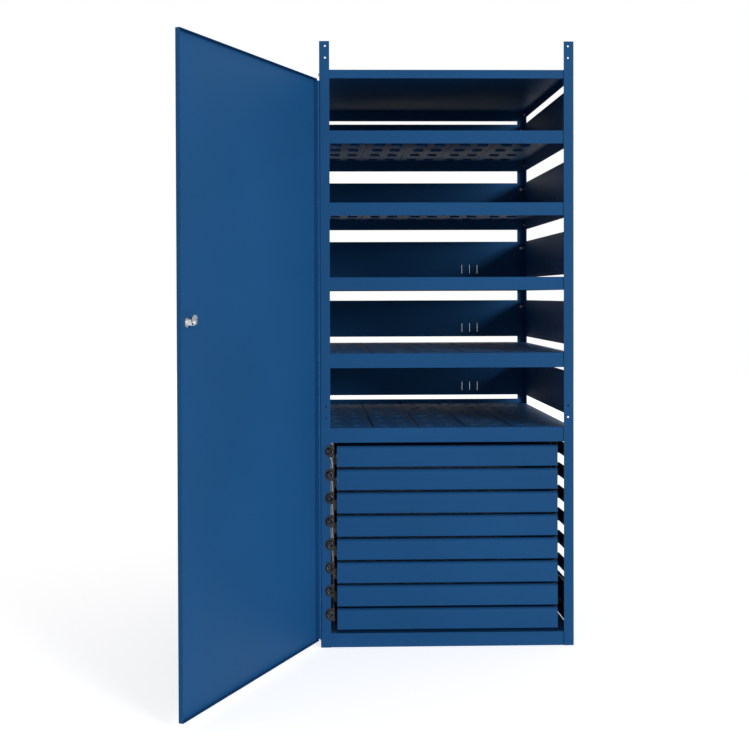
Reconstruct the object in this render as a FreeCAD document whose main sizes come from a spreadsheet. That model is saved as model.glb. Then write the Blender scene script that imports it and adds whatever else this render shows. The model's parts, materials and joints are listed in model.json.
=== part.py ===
import FreeCAD, Part
import math
import os
import re

import Sketcher

# Drawer and shelf cabinet of folded steel sheet, in millimetres, +Z up.
# The origin is the centre of the cabinet's footprint on the floor, and the front looks towards -Y.

SIZES = (
    ("cabinet_width", 840),
    ("cabinet_depth", 900),
    ("cabinet_height", 2000),
    # Angle posts
    ("post_flange", 33),
    ("post_sheet", 2.5),
    ("post_bend", 3.5),
    ("hole_line", 19),
    ("post_hole", 6.6),
    ("top_hole_drop", 16),
    ("post_hole_pitch", 38.5),
    ("spare_hole_height", 759),
    # Pressed trays, by the height of their decks
    ("top_shelf_level", 1907),
    ("second_shelf_level", 1707.5),
    ("third_shelf_level", 1470.5),
    ("fourth_shelf_level", 1224),
    ("fifth_shelf_level", 973),
    ("drawer_bay_level", 726.5),
    ("base_shelf_level", 46),
    ("shelf_sheet", 1.5),
    ("shelf_bend", 3),
    ("top_lip", 28.5),
    ("shelf_lip", 43),
    ("deep_lip", 48.5),
    ("rear_lip_drop", 11.5),
    ("rear_stop_height", 16.5),
    ("groove_start", 171.5),
    ("groove_pitch", 154),
    ("groove_count", 4),
    ("groove_width", 6),
    ("groove_depth", 2.5),
    ("slot_length", 36),
    ("slot_width", 26),
    ("slot_pair_pitch", 66),
    ("slot_row_start", 72.5),
    ("slot_row_pitch", 150),
    ("slot_row_count", 6),
    # Back and side panels
    ("panel_top_level", 1854),
    ("panel_height", 146.5),
    ("panel_pitch", 237),
    ("panel_sheet", 1.2),
    ("panel_hem", 12),
    ("panel_bolt_height", 120),
    ("panel_end_gap", 0.5),
    ("vent_start", 237.5),
    ("vent_pitch", 31),
    ("vent_count", 14),
    ("slit_vent_count", 3),
    ("vent_bottom", 14),
    ("vent_length", 44),
    ("vent_width", 10),
    ("vent_depth", 0.7),
    ("vent_slit_width", 1),
    # Bolts and nuts
    ("bolt_shank", 6),
    ("bolt_hole", 6.6),
    ("bolt_head", 10),
    ("bolt_head_height", 3),
    ("bolt_tail", 1.5),
    ("nut_flats", 10),
    ("nut_height", 5),
    ("nut_bore", 6.2),
    # Door and its hinge
    ("door_width", 836),
    ("door_height", 1852),
    ("door_bottom", 24),
    ("door_flange", 15),
    ("door_sheet", 1.5),
    ("door_bend", 2.5),
    ("door_gap", 3),
    ("door_open", 116),
    ("knuckle_radius", 3.5),
    ("knuckle_length", 40),
    ("knuckle_count", 46),
    ("knuckle_play", 0.25),
    ("hinge_bottom", 6),
    ("leaf_width", 13),
    ("leaf_sheet", 1.5),
    ("pin_radius", 1.5),
    ("pin_play", 0.08),
    # Cam lock in the door
    ("lock_height", 1093),
    ("lock_inset", 45),
    ("lock_radius", 9),
    ("lock_length", 26),
    ("lock_face_radius", 12),
    ("lock_face_height", 3),
    ("lock_play", 0.1),
    ("keyway_length", 9),
    ("keyway_width", 2.2),
    ("keyway_depth", 2),
    ("lock_nut_flats", 24),
    ("lock_nut_height", 5),
    ("cam_radius", 14),
    ("cam_offset", 7),
    ("cam_sheet", 3),
    ("cam_notch_radius", 3.5),
    # Drawers
    ("drawer_count", 8),
    ("drawer_pitch", 77),
    ("first_drawer_top", 665.75),
    ("drawer_width", 732),
    ("drawer_front_height", 68.5),
    ("drawer_front_depth", 20),
    ("drawer_roll", 14),
    ("drawer_foot_bend", 3.5),
    ("drawer_sheet", 1.2),
    ("drawer_length", 780),
    ("drawer_box_width", 726),
    ("drawer_box_height", 60),
    # Slides and the rails that carry them
    ("slide_thickness", 12.7),
    ("slide_height", 45),
    ("slide_length", 700),
    ("slide_setback", 80),
    ("slide_rise", 7),
    ("slide_sheet", 1.5),
    ("slide_play", 0.4),
    ("rail_sheet", 2),
    ("rail_step", 14),
    ("rail_setback", 100),
    ("hook_reach", 8),
    ("hook_radius", 21),
    ("boss_reach", 13.5),
    ("boss_radius", 13),
    ("boss_height", 6),
    ("boss_slope", 30),
    ("boss_hole", 7),
)
ALIASES = {alias for alias, value in SIZES}

doc = FreeCAD.newDocument("drawer_shelf_cabinet")
sheet = doc.addObject("Spreadsheet::Sheet", "Sizes")
for row, (alias, number) in enumerate(SIZES, start=1):
    sheet.set(f"A{row}", alias)
    sheet.set(f"B{row}", str(number))
    sheet.setAlias(f"B{row}", alias)
trial = doc.addObject("Spreadsheet::Sheet", "Trial")
doc.recompute()

NODES = []


# Formulas and values

def formula(text):
    """Put the sheet's name before each alias in a formula."""
    return re.sub(r"[a-z][a-z_]*", lambda word: f"Sizes.{word[0]}" if word[0] in ALIASES else word[0], text)


def value(text):
    """Number that a formula gives with the present sizes."""
    trial.set("A1", f"={formula(text)}")
    trial.recompute()
    return float(trial.get("A1"))


def bind(item, name, text):
    item.setExpression(name, formula(text))


def place(item, x="0", y="0", z="0"):
    bind(item, "Placement.Base.x", x)
    bind(item, "Placement.Base.y", y)
    bind(item, "Placement.Base.z", z)


def hang_on_hinge(item, z):
    """Place a body on the hinge axis and turn it to the door's angle at rest."""
    item.Placement = FreeCAD.Placement(FreeCAD.Vector(), FreeCAD.Rotation(FreeCAD.Vector(0, 0, -1), 1))
    bind(item, "Placement.Rotation.Angle", "door_open")
    place(item, HINGE_X, HINGE_Y, z)


# Bodies and sketches

def new_body(label, kept=True, group=False):
    """Start a body, which is a node of its own unless it is only a pattern for copies."""
    body = doc.addObject("PartDesign::Body", label)
    body.Label = label
    body.AllowCompound = group
    if kept:
        NODES.append(body)
    return body


def copy_of(label, original, x="0", y="0", z="0", turn=0, kept=True):
    """Place a further piece of the same shape, turned about +Z."""
    copy = doc.addObject("Part::Compound", label)
    copy.Label = label
    copy.Links = [original]
    copy.Placement.Rotation = FreeCAD.Rotation(FreeCAD.Vector(0, 0, 1), turn)
    place(copy, x, y, z)
    if kept:
        NODES.append(copy)
    return copy


def group_of(label, pieces):
    group = doc.addObject("Part::Compound", label)
    group.Label = label
    group.Links = pieces
    NODES.append(group)
    return group


def origin_feature(body, role):
    return next(item for item in body.Origin.OriginFeatures if item.Role == role)


def new_sketch(body, role, offset="0"):
    """Sketch on one of the body's own planes, moved along the plane's normal."""
    sketch = body.newObject("Sketcher::SketchObject", f"{body.Label}_sketch")
    sketch.AttachmentSupport = (origin_feature(body, role), [""])
    sketch.MapMode = "FlatFace"
    bind(sketch, "AttachmentOffset.Base.z", offset)
    return sketch


def pin_point(sketch, geometry, point, x, y):
    """Hold a point of a sketch at two measures from the sketch's origin."""
    for kind, text in (("DistanceX", x), ("DistanceY", y)):
        index = sketch.addConstraint(Sketcher.Constraint(kind, -1, 1, geometry, point, value(text)))
        sketch.setExpression(f"Constraints[{index}]", formula(text))


def outline(sketch, points):
    """Closed outline of straight lines through points given as pairs of formulas."""
    corners = [FreeCAD.Vector(value(x), value(y), 0) for x, y in points]
    lines = []
    for index, corner in enumerate(corners):
        following = corners[(index + 1) % len(corners)]
        lines.append(sketch.addGeometry(Part.LineSegment(corner, following)))
    for index, line in enumerate(lines):
        following = lines[(index + 1) % len(lines)]
        sketch.addConstraint(Sketcher.Constraint("Coincident", line, 2, following, 1))
    for line, (x, y) in zip(lines, points):
        pin_point(sketch, line, 1, x, y)


def rectangle(sketch, left, bottom, right, top):
    outline(sketch, ((left, bottom), (right, bottom), (right, top), (left, top)))


def circle(sketch, x, y, radius):
    centre = FreeCAD.Vector(value(x), value(y), 0)
    ring = sketch.addGeometry(Part.Circle(centre, FreeCAD.Vector(0, 0, 1), value(radius)))
    pin_point(sketch, ring, 3, x, y)
    index = sketch.addConstraint(Sketcher.Constraint("Radius", ring, value(radius)))
    sketch.setExpression(f"Constraints[{index}]", formula(radius))


def rounded_slot(sketch, x, y, length, width, upright=False):
    """Slot with round ends, centred at x, y."""
    radius = f"({width}) / 2"
    reach = f"(({length}) - ({width})) / 2"
    turn = math.pi / 2 if upright else 0
    along = "Horizontal" if upright else "Vertical"
    ends = []
    for sign, start in (("+", -math.pi / 2), ("-", math.pi / 2)):
        end_x = x if upright else f"({x}) {sign} {reach}"
        end_y = f"({y}) {sign} {reach}" if upright else y
        centre = FreeCAD.Vector(value(end_x), value(end_y), 0)
        round_end = Part.Circle(centre, FreeCAD.Vector(0, 0, 1), value(radius))
        arc = sketch.addGeometry(Part.ArcOfCircle(round_end, start + turn, start + turn + math.pi))
        pin_point(sketch, arc, 3, end_x, end_y)
        index = sketch.addConstraint(Sketcher.Constraint("Radius", arc, value(radius)))
        sketch.setExpression(f"Constraints[{index}]", formula(radius))
        sketch.addConstraint(Sketcher.Constraint(along, arc, 1, arc, 3))
        sketch.addConstraint(Sketcher.Constraint(along, arc, 2, arc, 3))
        ends.append(arc)
    for before, after in (ends, ends[::-1]):
        side = Part.LineSegment(sketch.Geometry[before].EndPoint, sketch.Geometry[after].StartPoint)
        line = sketch.addGeometry(side)
        sketch.addConstraint(Sketcher.Constraint("Coincident", line, 1, before, 2))
        sketch.addConstraint(Sketcher.Constraint("Coincident", line, 2, after, 1))


def pad(body, sketch, length, backwards=False, taper=None):
    feature = body.newObject("PartDesign::Pad", f"{body.Label}_pad")
    feature.Profile = sketch
    feature.Reversed = backwards
    bind(feature, "Length", length)
    if taper:
        bind(feature, "TaperAngle", taper)
    return feature


def pocket(body, sketch, depth=None, backwards=False):
    """Cut a sketch to a depth, or through the whole body both ways."""
    feature = body.newObject("PartDesign::Pocket", f"{body.Label}_pocket")
    feature.Profile = sketch
    feature.Reversed = backwards
    if depth:
        bind(feature, "Length", depth)
    else:
        feature.SideType = "Symmetric"
        feature.Type = "Length"
        bind(feature, "Length", "3 * cabinet_height")
    return feature


def repeat(body, originals, axis, pitch, count, backwards=False):
    """Repeat features in a row along one of the body's axes."""
    feature = body.newObject("PartDesign::LinearPattern", f"{body.Label}_row")
    feature.Originals = originals
    feature.Direction = (origin_feature(body, axis), [""])
    feature.Reversed = backwards
    feature.Mode = "Spacing"
    bind(feature, "Offset", pitch)
    bind(feature, "Occurrences", count)
    body.Tip = feature
    return feature


def repeat_both_ways(body, originals, first, second):
    """Repeat features in a grid, each way given as an axis, a pitch and a count."""
    grid = body.newObject("PartDesign::MultiTransform", f"{body.Label}_grid")
    rows = []
    for axis, pitch, count in (first, second):
        row = doc.addObject("PartDesign::LinearPattern", f"{body.Label}_grid_row")
        row.Direction = (origin_feature(body, axis), [""])
        row.Mode = "Spacing"
        bind(row, "Offset", pitch)
        bind(row, "Occurrences", count)
        rows.append(row)
    grid.Originals = originals
    grid.Transformations = rows
    body.Tip = grid
    return grid


def edges_along(base, axis, tests):
    """Names of the straight edges of a feature that run along an axis and pass a point test."""
    doc.recompute()
    names = []
    for number, edge in enumerate(base.Shape.Edges, start=1):
        if edge.Curve.TypeId != "Part::GeomLine":
            continue
        if abs(abs(edge.tangentAt(edge.FirstParameter)[axis]) - 1) > 1e-6:
            continue
        if tests(edge.CenterOfMass):
            names.append(f"Edge{number}")
    return names


def round_edges(body, base, names, radius):
    feature = body.newObject("PartDesign::Fillet", f"{body.Label}_bend")
    feature.Base = (base, names)
    bind(feature, "Radius", radius)
    return feature


def near(number, text):
    return abs(number - value(text)) < 0.01


# Places that several pieces share

POST_X = "(cabinet_width / 2)"
POST_Y = "(cabinet_depth / 2)"
INNER_X = "(cabinet_width / 2 - post_sheet)"
INNER_Y = "(cabinet_depth / 2 - post_sheet)"
BOLT_X = "(cabinet_width / 2 - hole_line)"
BOLT_Y = "(cabinet_depth / 2 - hole_line)"
HINGE_X = "-(cabinet_width / 2 + knuckle_radius)"
HINGE_Y = "-(cabinet_depth / 2 + door_gap / 2)"
SLIDE_X = "(drawer_box_width / 2 + slide_thickness)"
SLIDE_Z = "(first_drawer_top + slide_rise - slide_height)"

TRAYS = (
    ("top_shelf", "top_shelf_level", "top_lip", False),
    ("second_shelf", "second_shelf_level", "shelf_lip", True),
    ("third_shelf", "third_shelf_level", "shelf_lip", True),
    ("fourth_shelf", "fourth_shelf_level", "shelf_lip", True),
    ("fifth_shelf", "fifth_shelf_level", "deep_lip", True),
    ("drawer_bay_shelf", "drawer_bay_level", "deep_lip", True),
    ("base_shelf", "base_shelf_level", "base_shelf_level", False),
)
TRAY_BOLT_LEVELS = [f"({level} - {lip} / 2)" for name, level, lip, slotted in TRAYS]

# The panels follow one pitch, and two places beside the upper drawers stay open
PANEL_STEPS = (0, 1, 2, 3, 4, 7)
PANEL_LEVELS = [f"(panel_top_level - panel_height - {step} * panel_pitch)" for step in PANEL_STEPS]
PANEL_BOLT_LEVELS = [f"({level} + panel_bolt_height)" for level in PANEL_LEVELS]
LOWEST_PANEL_TOP = f"({PANEL_LEVELS[-1]} + panel_height)"

TOP_HOLES = ["(cabinet_height - top_hole_drop)", "(cabinet_height - top_hole_drop - post_hole_pitch)"]
SPARE_HOLES = ["spare_hole_height", "(spare_hole_height + post_hole_pitch)"]


# Posts

def make_post(name, corner_x, corner_y, turn, first_flange, second_flange):
    """Angle post with its corner at the origin and flanges along +X and +Y before it is turned."""
    body = new_body(name)
    section = new_sketch(body, "XY_Plane")
    outline(section, (
        ("0", "0"),
        ("post_flange", "0"),
        ("post_flange", "post_sheet"),
        ("post_sheet", "post_sheet"),
        ("post_sheet", "post_flange"),
        ("0", "post_flange"),
    ))
    angle = pad(body, section, "cabinet_height")
    corner = edges_along(angle, 2, lambda at: abs(at.x) + abs(at.y) < 0.01)
    round_edges(body, angle, corner, "post_bend")
    for role, flange in (("XZ_Plane", first_flange), ("YZ_Plane", second_flange)):
        large, small = flange
        holes = new_sketch(body, role)
        for level in large:
            circle(holes, "hole_line", level, "post_hole / 2")
        for level in small:
            circle(holes, "hole_line", level, "bolt_hole / 2")
        pocket(body, holes)
    body.Placement.Rotation = FreeCAD.Rotation(FreeCAD.Vector(0, 0, 1), turn)
    place(body, corner_x, corner_y)


FRONT = (TOP_HOLES + SPARE_HOLES, [])
SIDE = (TOP_HOLES, TRAY_BOLT_LEVELS + PANEL_BOLT_LEVELS)
REAR = (TOP_HOLES, PANEL_BOLT_LEVELS)
make_post("front_left_post", f"-{POST_X}", f"-{POST_Y}", 0, FRONT, SIDE)
make_post("front_right_post", POST_X, f"-{POST_Y}", 90, SIDE, FRONT)
make_post("rear_right_post", POST_X, POST_Y, 180, REAR, SIDE)
make_post("rear_left_post", f"-{POST_X}", POST_Y, 270, SIDE, REAR)


# Trays

# Strips along the rear edge: a deeper rear lip, and a stop that stands on the deck above the drawers,
# each by its lowest and highest edge and its distance from the tray's rear face
REAR_STRIPS = {
    "top_shelf": ("-rear_lip_drop", "shelf_sheet", "0"),
    "drawer_bay_shelf": ("deep_lip - shelf_sheet / 2", "deep_lip + rear_stop_height", "shelf_bend"),
}


def make_tray(name, level, lip, slotted):
    """Pressed tray with its lips turned down, drawn from its lower front left corner."""
    body = new_body(name)
    width = "(cabinet_width - 2 * post_sheet)"
    depth = "(cabinet_depth - 2 * post_sheet)"
    section = new_sketch(body, "YZ_Plane")
    outline(section, (
        ("0", "0"),
        ("shelf_sheet", "0"),
        ("shelf_sheet", f"{lip} - shelf_sheet"),
        (f"{depth} - shelf_sheet", f"{lip} - shelf_sheet"),
        (f"{depth} - shelf_sheet", "0"),
        (depth, "0"),
        (depth, lip),
        ("0", lip),
    ))
    deck = pad(body, section, width)
    front = edges_along(deck, 0, lambda at: near(at.z, lip))
    outer = round_edges(body, deck, front, "shelf_bend")
    inner = edges_along(outer, 0, lambda at: near(at.z, f"{lip} - shelf_sheet"))
    round_edges(body, outer, inner, "shelf_bend - shelf_sheet")
    sides = new_sketch(body, "XZ_Plane", "-shelf_bend")
    rectangle(sides, "0", "0", "shelf_sheet", f"{lip} - shelf_sheet / 2")
    rectangle(sides, f"{width} - shelf_sheet", "0", width, f"{lip} - shelf_sheet / 2")
    pad(body, sides, f"{depth} - 2 * shelf_bend", backwards=True)
    if name in REAR_STRIPS:
        low, high, inset = REAR_STRIPS[name]
        strip = new_sketch(body, "YZ_Plane")
        rectangle(strip, f"{depth} - {inset} - shelf_sheet", low, f"{depth} - {inset}", high)
        pad(body, strip, width)
    holes = new_sketch(body, "YZ_Plane")
    for y in ("hole_line - post_sheet", f"{depth} + post_sheet - hole_line"):
        circle(holes, y, f"{lip} / 2", "bolt_hole / 2")
    pocket(body, holes)
    if slotted:
        press_deck(body, lip, depth)
    place(body, f"-{INNER_X}", f"-{INNER_Y}", f"{level} - {lip}")
    return body


def press_deck(body, lip, depth):
    """Press stiffening grooves from front to back and punch pairs of slots between them."""
    half = "groove_width / 2"
    below = new_sketch(body, "XZ_Plane", "-2 * shelf_bend")
    rectangle(below, f"groove_start - {half} - shelf_sheet", f"{lip} - groove_depth - shelf_sheet",
              f"groove_start + {half} + shelf_sheet", f"{lip} - shelf_sheet / 2")
    ridge = pad(body, below, f"{depth} - 4 * shelf_bend", backwards=True)
    repeat(body, [ridge], "X_Axis", "groove_pitch", "groove_count")
    above = new_sketch(body, "XZ_Plane", "-2 * shelf_bend - shelf_sheet")
    rectangle(above, f"groove_start - {half}", f"{lip} - groove_depth",
              f"groove_start + {half}", f"{lip} + 1")
    groove = pocket(body, above, f"{depth} - 4 * shelf_bend - 2 * shelf_sheet")
    repeat(body, [groove], "X_Axis", "groove_pitch", "groove_count")
    slots = new_sketch(body, "XY_Plane", lip)
    for side in ("-", "+"):
        x = f"groove_start - groove_pitch / 2 {side} slot_pair_pitch / 2"
        rounded_slot(slots, x, "slot_row_start", "slot_length", "slot_width")
    punch = pocket(body, slots, "2 * shelf_sheet")
    repeat_both_ways(body, [punch], ("X_Axis", "groove_pitch", "groove_count + 1"),
                     ("Y_Axis", "slot_row_pitch", "slot_row_count"))


slotted_trays = {}
for name, level, lip, slotted in TRAYS:
    if slotted and lip in slotted_trays and name not in REAR_STRIPS:
        first_tray, first_level = slotted_trays[lip]
        copy_of(name, first_tray, z=f"{level} - {first_level}")
        continue
    tray = make_tray(name, level, lip, slotted)
    if slotted and name not in REAR_STRIPS:
        slotted_trays[lip] = (tray, level)


# Panels

END_HOLE = "(hole_line - post_sheet)"
BACK_LENGTH = "(cabinet_width - 2 * post_sheet)"
CORNER_ROOM = "(2 * panel_sheet + panel_end_gap)"
SIDE_LENGTH = f"(cabinet_depth - 2 * post_sheet - {CORNER_ROOM})"


def make_panel(label, length, first_hole, last_hole, kept):
    """Hemmed panel along +X from its lower corner, with its outer face on y = 0 and its hems towards -Y."""
    body = new_body(label, kept)
    section = new_sketch(body, "YZ_Plane")
    outline(section, (
        ("0", "0"),
        ("0", "panel_height"),
        ("-2 * panel_sheet", "panel_height"),
        ("-2 * panel_sheet", "panel_height - panel_hem"),
        ("-panel_sheet", "panel_height - panel_hem"),
        ("-panel_sheet", "panel_hem"),
        ("-2 * panel_sheet", "panel_hem"),
        ("-2 * panel_sheet", "0"),
    ))
    plate = pad(body, section, length)
    folds = edges_along(plate, 0, lambda at: near(at.y, "-2 * panel_sheet"))
    round_edges(body, plate, folds, "panel_sheet / 2")
    holes = new_sketch(body, "XZ_Plane")
    for x in (first_hole, last_hole):
        circle(holes, x, "panel_bolt_height", "bolt_hole / 2")
    pocket(body, holes)
    vent_z = "vent_bottom + vent_length / 2"
    pressed = new_sketch(body, "XZ_Plane", "panel_sheet")
    rounded_slot(pressed, "vent_start", vent_z, "vent_length", "vent_width", upright=True)
    dimple = pocket(body, pressed, "vent_depth")
    repeat(body, [dimple], "X_Axis", "vent_pitch", "vent_count")
    opened = new_sketch(body, "XZ_Plane")
    first_slit = "vent_start + (vent_count - slit_vent_count) * vent_pitch"
    slit_length = "vent_length - vent_width"
    rounded_slot(opened, first_slit, vent_z, slit_length, "vent_slit_width", upright=True)
    slit = pocket(body, opened)
    repeat(body, [slit], "X_Axis", "vent_pitch", "slit_vent_count")
    return body


back_panel = make_panel("back_panel_1", BACK_LENGTH, END_HOLE, f"{BACK_LENGTH} - {END_HOLE}", kept=True)
place(back_panel, f"-{INNER_X}", INNER_Y, PANEL_LEVELS[0])
for number, level in enumerate(PANEL_LEVELS[1:], start=2):
    copy_of(f"back_panel_{number}", back_panel, z=f"{level} - {PANEL_LEVELS[0]}")

FAR_HOLE = f"{SIDE_LENGTH} + {CORNER_ROOM} - {END_HOLE}"
left_panel = make_panel("left_panel", SIDE_LENGTH, END_HOLE, FAR_HOLE, kept=False)
group_of("left_side_panels", [
    copy_of(f"left_panel_{number}", left_panel, f"-{INNER_X}", f"-{INNER_Y}", level, turn=90, kept=False)
    for number, level in enumerate(PANEL_LEVELS, start=1)
])
NEAR_HOLE = f"{END_HOLE} - {CORNER_ROOM}"
RIGHT_Y = f"{SIDE_LENGTH} - {INNER_Y}"
right_panel = make_panel("right_panel", SIDE_LENGTH, NEAR_HOLE, f"{SIDE_LENGTH} - {END_HOLE}", kept=False)
group_of("right_side_panels", [
    copy_of(f"right_panel_{number}", right_panel, INNER_X, RIGHT_Y, level, turn=-90, kept=False)
    for number, level in enumerate(PANEL_LEVELS, start=1)
])


# Bolts and nuts

def hexagon(sketch, x, y, flats):
    """Hexagon with a corner towards each side of the sketch."""
    corner = f"({flats}) / sqrt(3)"
    outline(sketch, (
        (f"{x} + {corner}", y),
        (f"{x} + {corner} / 2", f"{y} + ({flats}) / 2"),
        (f"{x} - {corner} / 2", f"{y} + ({flats}) / 2"),
        (f"{x} - {corner}", y),
        (f"{x} - {corner} / 2", f"{y} - ({flats}) / 2"),
        (f"{x} + {corner} / 2", f"{y} - ({flats}) / 2"),
    ))


def make_bolt():
    """Pan head bolt along X with its head on the +X side of the origin."""
    body = new_body("bolt", kept=False)
    section = new_sketch(body, "XY_Plane")
    reach = "-(post_sheet + shelf_sheet + nut_height + bolt_tail)"
    outline(section, (
        (reach, "0"),
        (reach, "bolt_shank / 2"),
        ("0", "bolt_shank / 2"),
        ("0", "bolt_head / 2"),
        ("bolt_head_height / 2", "bolt_head / 2"),
        ("bolt_head_height", "bolt_head / 3"),
        ("bolt_head_height", "0"),
    ))
    turned = body.newObject("PartDesign::Revolution", "bolt_turned")
    turned.Profile = section
    turned.ReferenceAxis = (origin_feature(body, "X_Axis"), [""])
    turned.Angle = 360
    return body


def make_nut():
    """Hexagon nut along X, on the -X side of the origin."""
    body = new_body("nut", kept=False)
    section = new_sketch(body, "YZ_Plane")
    hexagon(section, "0", "0", "nut_flats")
    circle(section, "0", "0", "nut_bore / 2")
    pad(body, section, "nut_height", backwards=True)
    return body


bolt = make_bolt()
nut = make_nut()
side_places = [(f"{x_sign}{POST_X}", f"{y_sign}{BOLT_Y}", f"{x_sign}1", turn)
               for x_sign, turn in (("", 0), ("-", 180)) for y_sign in ("", "-")]


def fasten(kind, side_levels, back_levels, sheet_inside):
    """Bolts through the posts with their heads outside, and the nuts inside."""
    bolts = []
    nuts = []
    for x, y, outwards, turn in side_places:
        for level in side_levels:
            bolts.append(copy_of(f"{kind}_bolt", bolt, x, y, level, turn, kept=False))
            inner = f"{x} - {outwards} * (post_sheet + {sheet_inside})"
            nuts.append(copy_of(f"{kind}_nut", nut, inner, y, level, turn, kept=False))
    for x in (BOLT_X, f"-{BOLT_X}"):
        for level in back_levels:
            bolts.append(copy_of(f"{kind}_bolt", bolt, x, POST_Y, level, 90, kept=False))
            inner = f"{INNER_Y} - {sheet_inside}"
            nuts.append(copy_of(f"{kind}_nut", nut, x, inner, level, 90, kept=False))
    group_of(f"{kind}_bolts", bolts)
    group_of(f"{kind}_nuts", nuts)


fasten("shelf", TRAY_BOLT_LEVELS, [], "shelf_sheet")
fasten("panel", PANEL_BOLT_LEVELS, PANEL_BOLT_LEVELS, "panel_sheet")


# Door, drawn closed from the hinge axis and then turned open

DOOR_BACK = "-door_gap / 2"
DOOR_FACE = "-(door_gap / 2 + door_flange)"
DOOR_FREE_EDGE = "(knuckle_radius + door_width)"
LOCK_X = f"({DOOR_FREE_EDGE} - lock_inset)"
LOCK_Z = "(lock_height - door_bottom)"
SKIN_INSIDE = f"({DOOR_FACE} + door_sheet)"
BARREL_END = f"({SKIN_INSIDE} + lock_length)"


def make_door():
    body = new_body("door_panel")
    plan = new_sketch(body, "XY_Plane")
    rectangle(plan, "knuckle_radius", DOOR_FACE, DOOR_FREE_EDGE, DOOR_BACK)
    block = pad(body, plan, "door_height")
    rim = [edges_along(block, axis, lambda at: near(at.y, DOOR_FACE)) for axis in (0, 2)]
    folded = round_edges(body, block, rim[0] + rim[1], "door_bend")
    hollow = new_sketch(body, "XZ_Plane", "door_gap / 2")
    rectangle(hollow, "knuckle_radius + door_sheet", "door_sheet",
              f"{DOOR_FREE_EDGE} - door_sheet", "door_height - door_sheet")
    inside = pocket(body, hollow, "door_flange - door_sheet", backwards=True)
    creases = [edges_along(inside, axis, lambda at: near(at.y, SKIN_INSIDE)) for axis in (0, 2)]
    round_edges(body, inside, creases[0] + creases[1], "door_bend - door_sheet")
    lock_hole = new_sketch(body, "XZ_Plane")
    circle(lock_hole, LOCK_X, LOCK_Z, "lock_radius + lock_play")
    pocket(body, lock_hole)
    hang_on_hinge(body, "door_bottom")


def make_leaf(label, towards, first_gap):
    """Hinge leaf from the pin axis, with every second knuckle left out for the other leaf."""
    body = new_body(label)
    plan = new_sketch(body, "XY_Plane")
    rectangle(plan, "knuckle_radius - leaf_sheet", "0", "knuckle_radius", f"{towards}leaf_width")
    pad(body, plan, "knuckle_count * knuckle_length")
    barrel = new_sketch(body, "XY_Plane")
    circle(barrel, "0", "0", "knuckle_radius")
    pad(body, barrel, "knuckle_count * knuckle_length")
    bore = new_sketch(body, "XY_Plane")
    circle(bore, "0", "0", "pin_radius + pin_play")
    pocket(body, bore)
    gap = new_sketch(body, "XY_Plane", f"{first_gap} * knuckle_length + knuckle_play")
    circle(gap, "0", "0", "knuckle_radius + knuckle_play")
    cut = pocket(body, gap, "knuckle_length + 2 * knuckle_play")
    repeat(body, [cut], "Z_Axis", "2 * knuckle_length", "knuckle_count / 2")
    return body


make_door()
place(make_leaf("hinge_post_leaf", "", 2), HINGE_X, HINGE_Y, "door_bottom + hinge_bottom")
hang_on_hinge(make_leaf("hinge_door_leaf", "-", 1), "door_bottom + hinge_bottom")

hinge_pin = doc.addObject("Part::Cylinder", "hinge_pin")
bind(hinge_pin, "Radius", "pin_radius")
bind(hinge_pin, "Height", "knuckle_count * knuckle_length")
place(hinge_pin, HINGE_X, HINGE_Y, "door_bottom + hinge_bottom")
NODES.append(hinge_pin)


# Cam lock, in the door's own frame

def disc(body, y, radius, length, inwards):
    """Round step of a turned piece about the lock's axis."""
    face = new_sketch(body, "XZ_Plane", f"-({y})")
    circle(face, LOCK_X, LOCK_Z, radius)
    return pad(body, face, length, backwards=inwards)


def make_lock():
    barrel = new_body("lock_barrel")
    disc(barrel, DOOR_FACE, "lock_face_radius", "lock_face_height", inwards=False)
    disc(barrel, DOOR_FACE, "lock_radius", "door_sheet + lock_length", inwards=True)
    keyway = new_sketch(barrel, "XZ_Plane", f"-({DOOR_FACE} - lock_face_height)")
    rounded_slot(keyway, LOCK_X, LOCK_Z, "keyway_length", "keyway_width", upright=True)
    pocket(barrel, keyway, "keyway_depth")
    screw_hole = new_sketch(barrel, "XZ_Plane", f"-({BARREL_END})")
    circle(screw_hole, LOCK_X, LOCK_Z, "bolt_hole / 2")
    pocket(barrel, screw_hole, "nut_height", backwards=True)
    hang_on_hinge(barrel, "door_bottom")

    ring = new_body("lock_nut")
    section = new_sketch(ring, "XZ_Plane", f"-({SKIN_INSIDE})")
    hexagon(section, LOCK_X, LOCK_Z, "lock_nut_flats")
    circle(section, LOCK_X, LOCK_Z, "lock_radius + lock_play")
    pad(ring, section, "lock_nut_height", backwards=True)
    hang_on_hinge(ring, "door_bottom")

    cam = new_body("lock_cam")
    plate = new_sketch(cam, "XZ_Plane", f"-({BARREL_END})")
    circle(plate, LOCK_X, f"{LOCK_Z} + cam_offset", "cam_radius")
    circle(plate, LOCK_X, LOCK_Z, "bolt_hole / 2")
    pad(cam, plate, "cam_sheet", backwards=True)
    notch = new_sketch(cam, "XZ_Plane")
    circle(notch, f"{LOCK_X} - cam_radius", f"{LOCK_Z} + cam_offset", "cam_notch_radius")
    pocket(cam, notch)
    hang_on_hinge(cam, "door_bottom")

    screw = new_body("cam_screw")
    disc(screw, f"{BARREL_END} + cam_sheet", "bolt_head / 2", "bolt_head_height", inwards=True)
    disc(screw, f"{BARREL_END} + cam_sheet", "bolt_shank / 2", "cam_sheet + nut_height - 1", inwards=False)
    hang_on_hinge(screw, "door_bottom")


make_lock()


# Drawers

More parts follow.
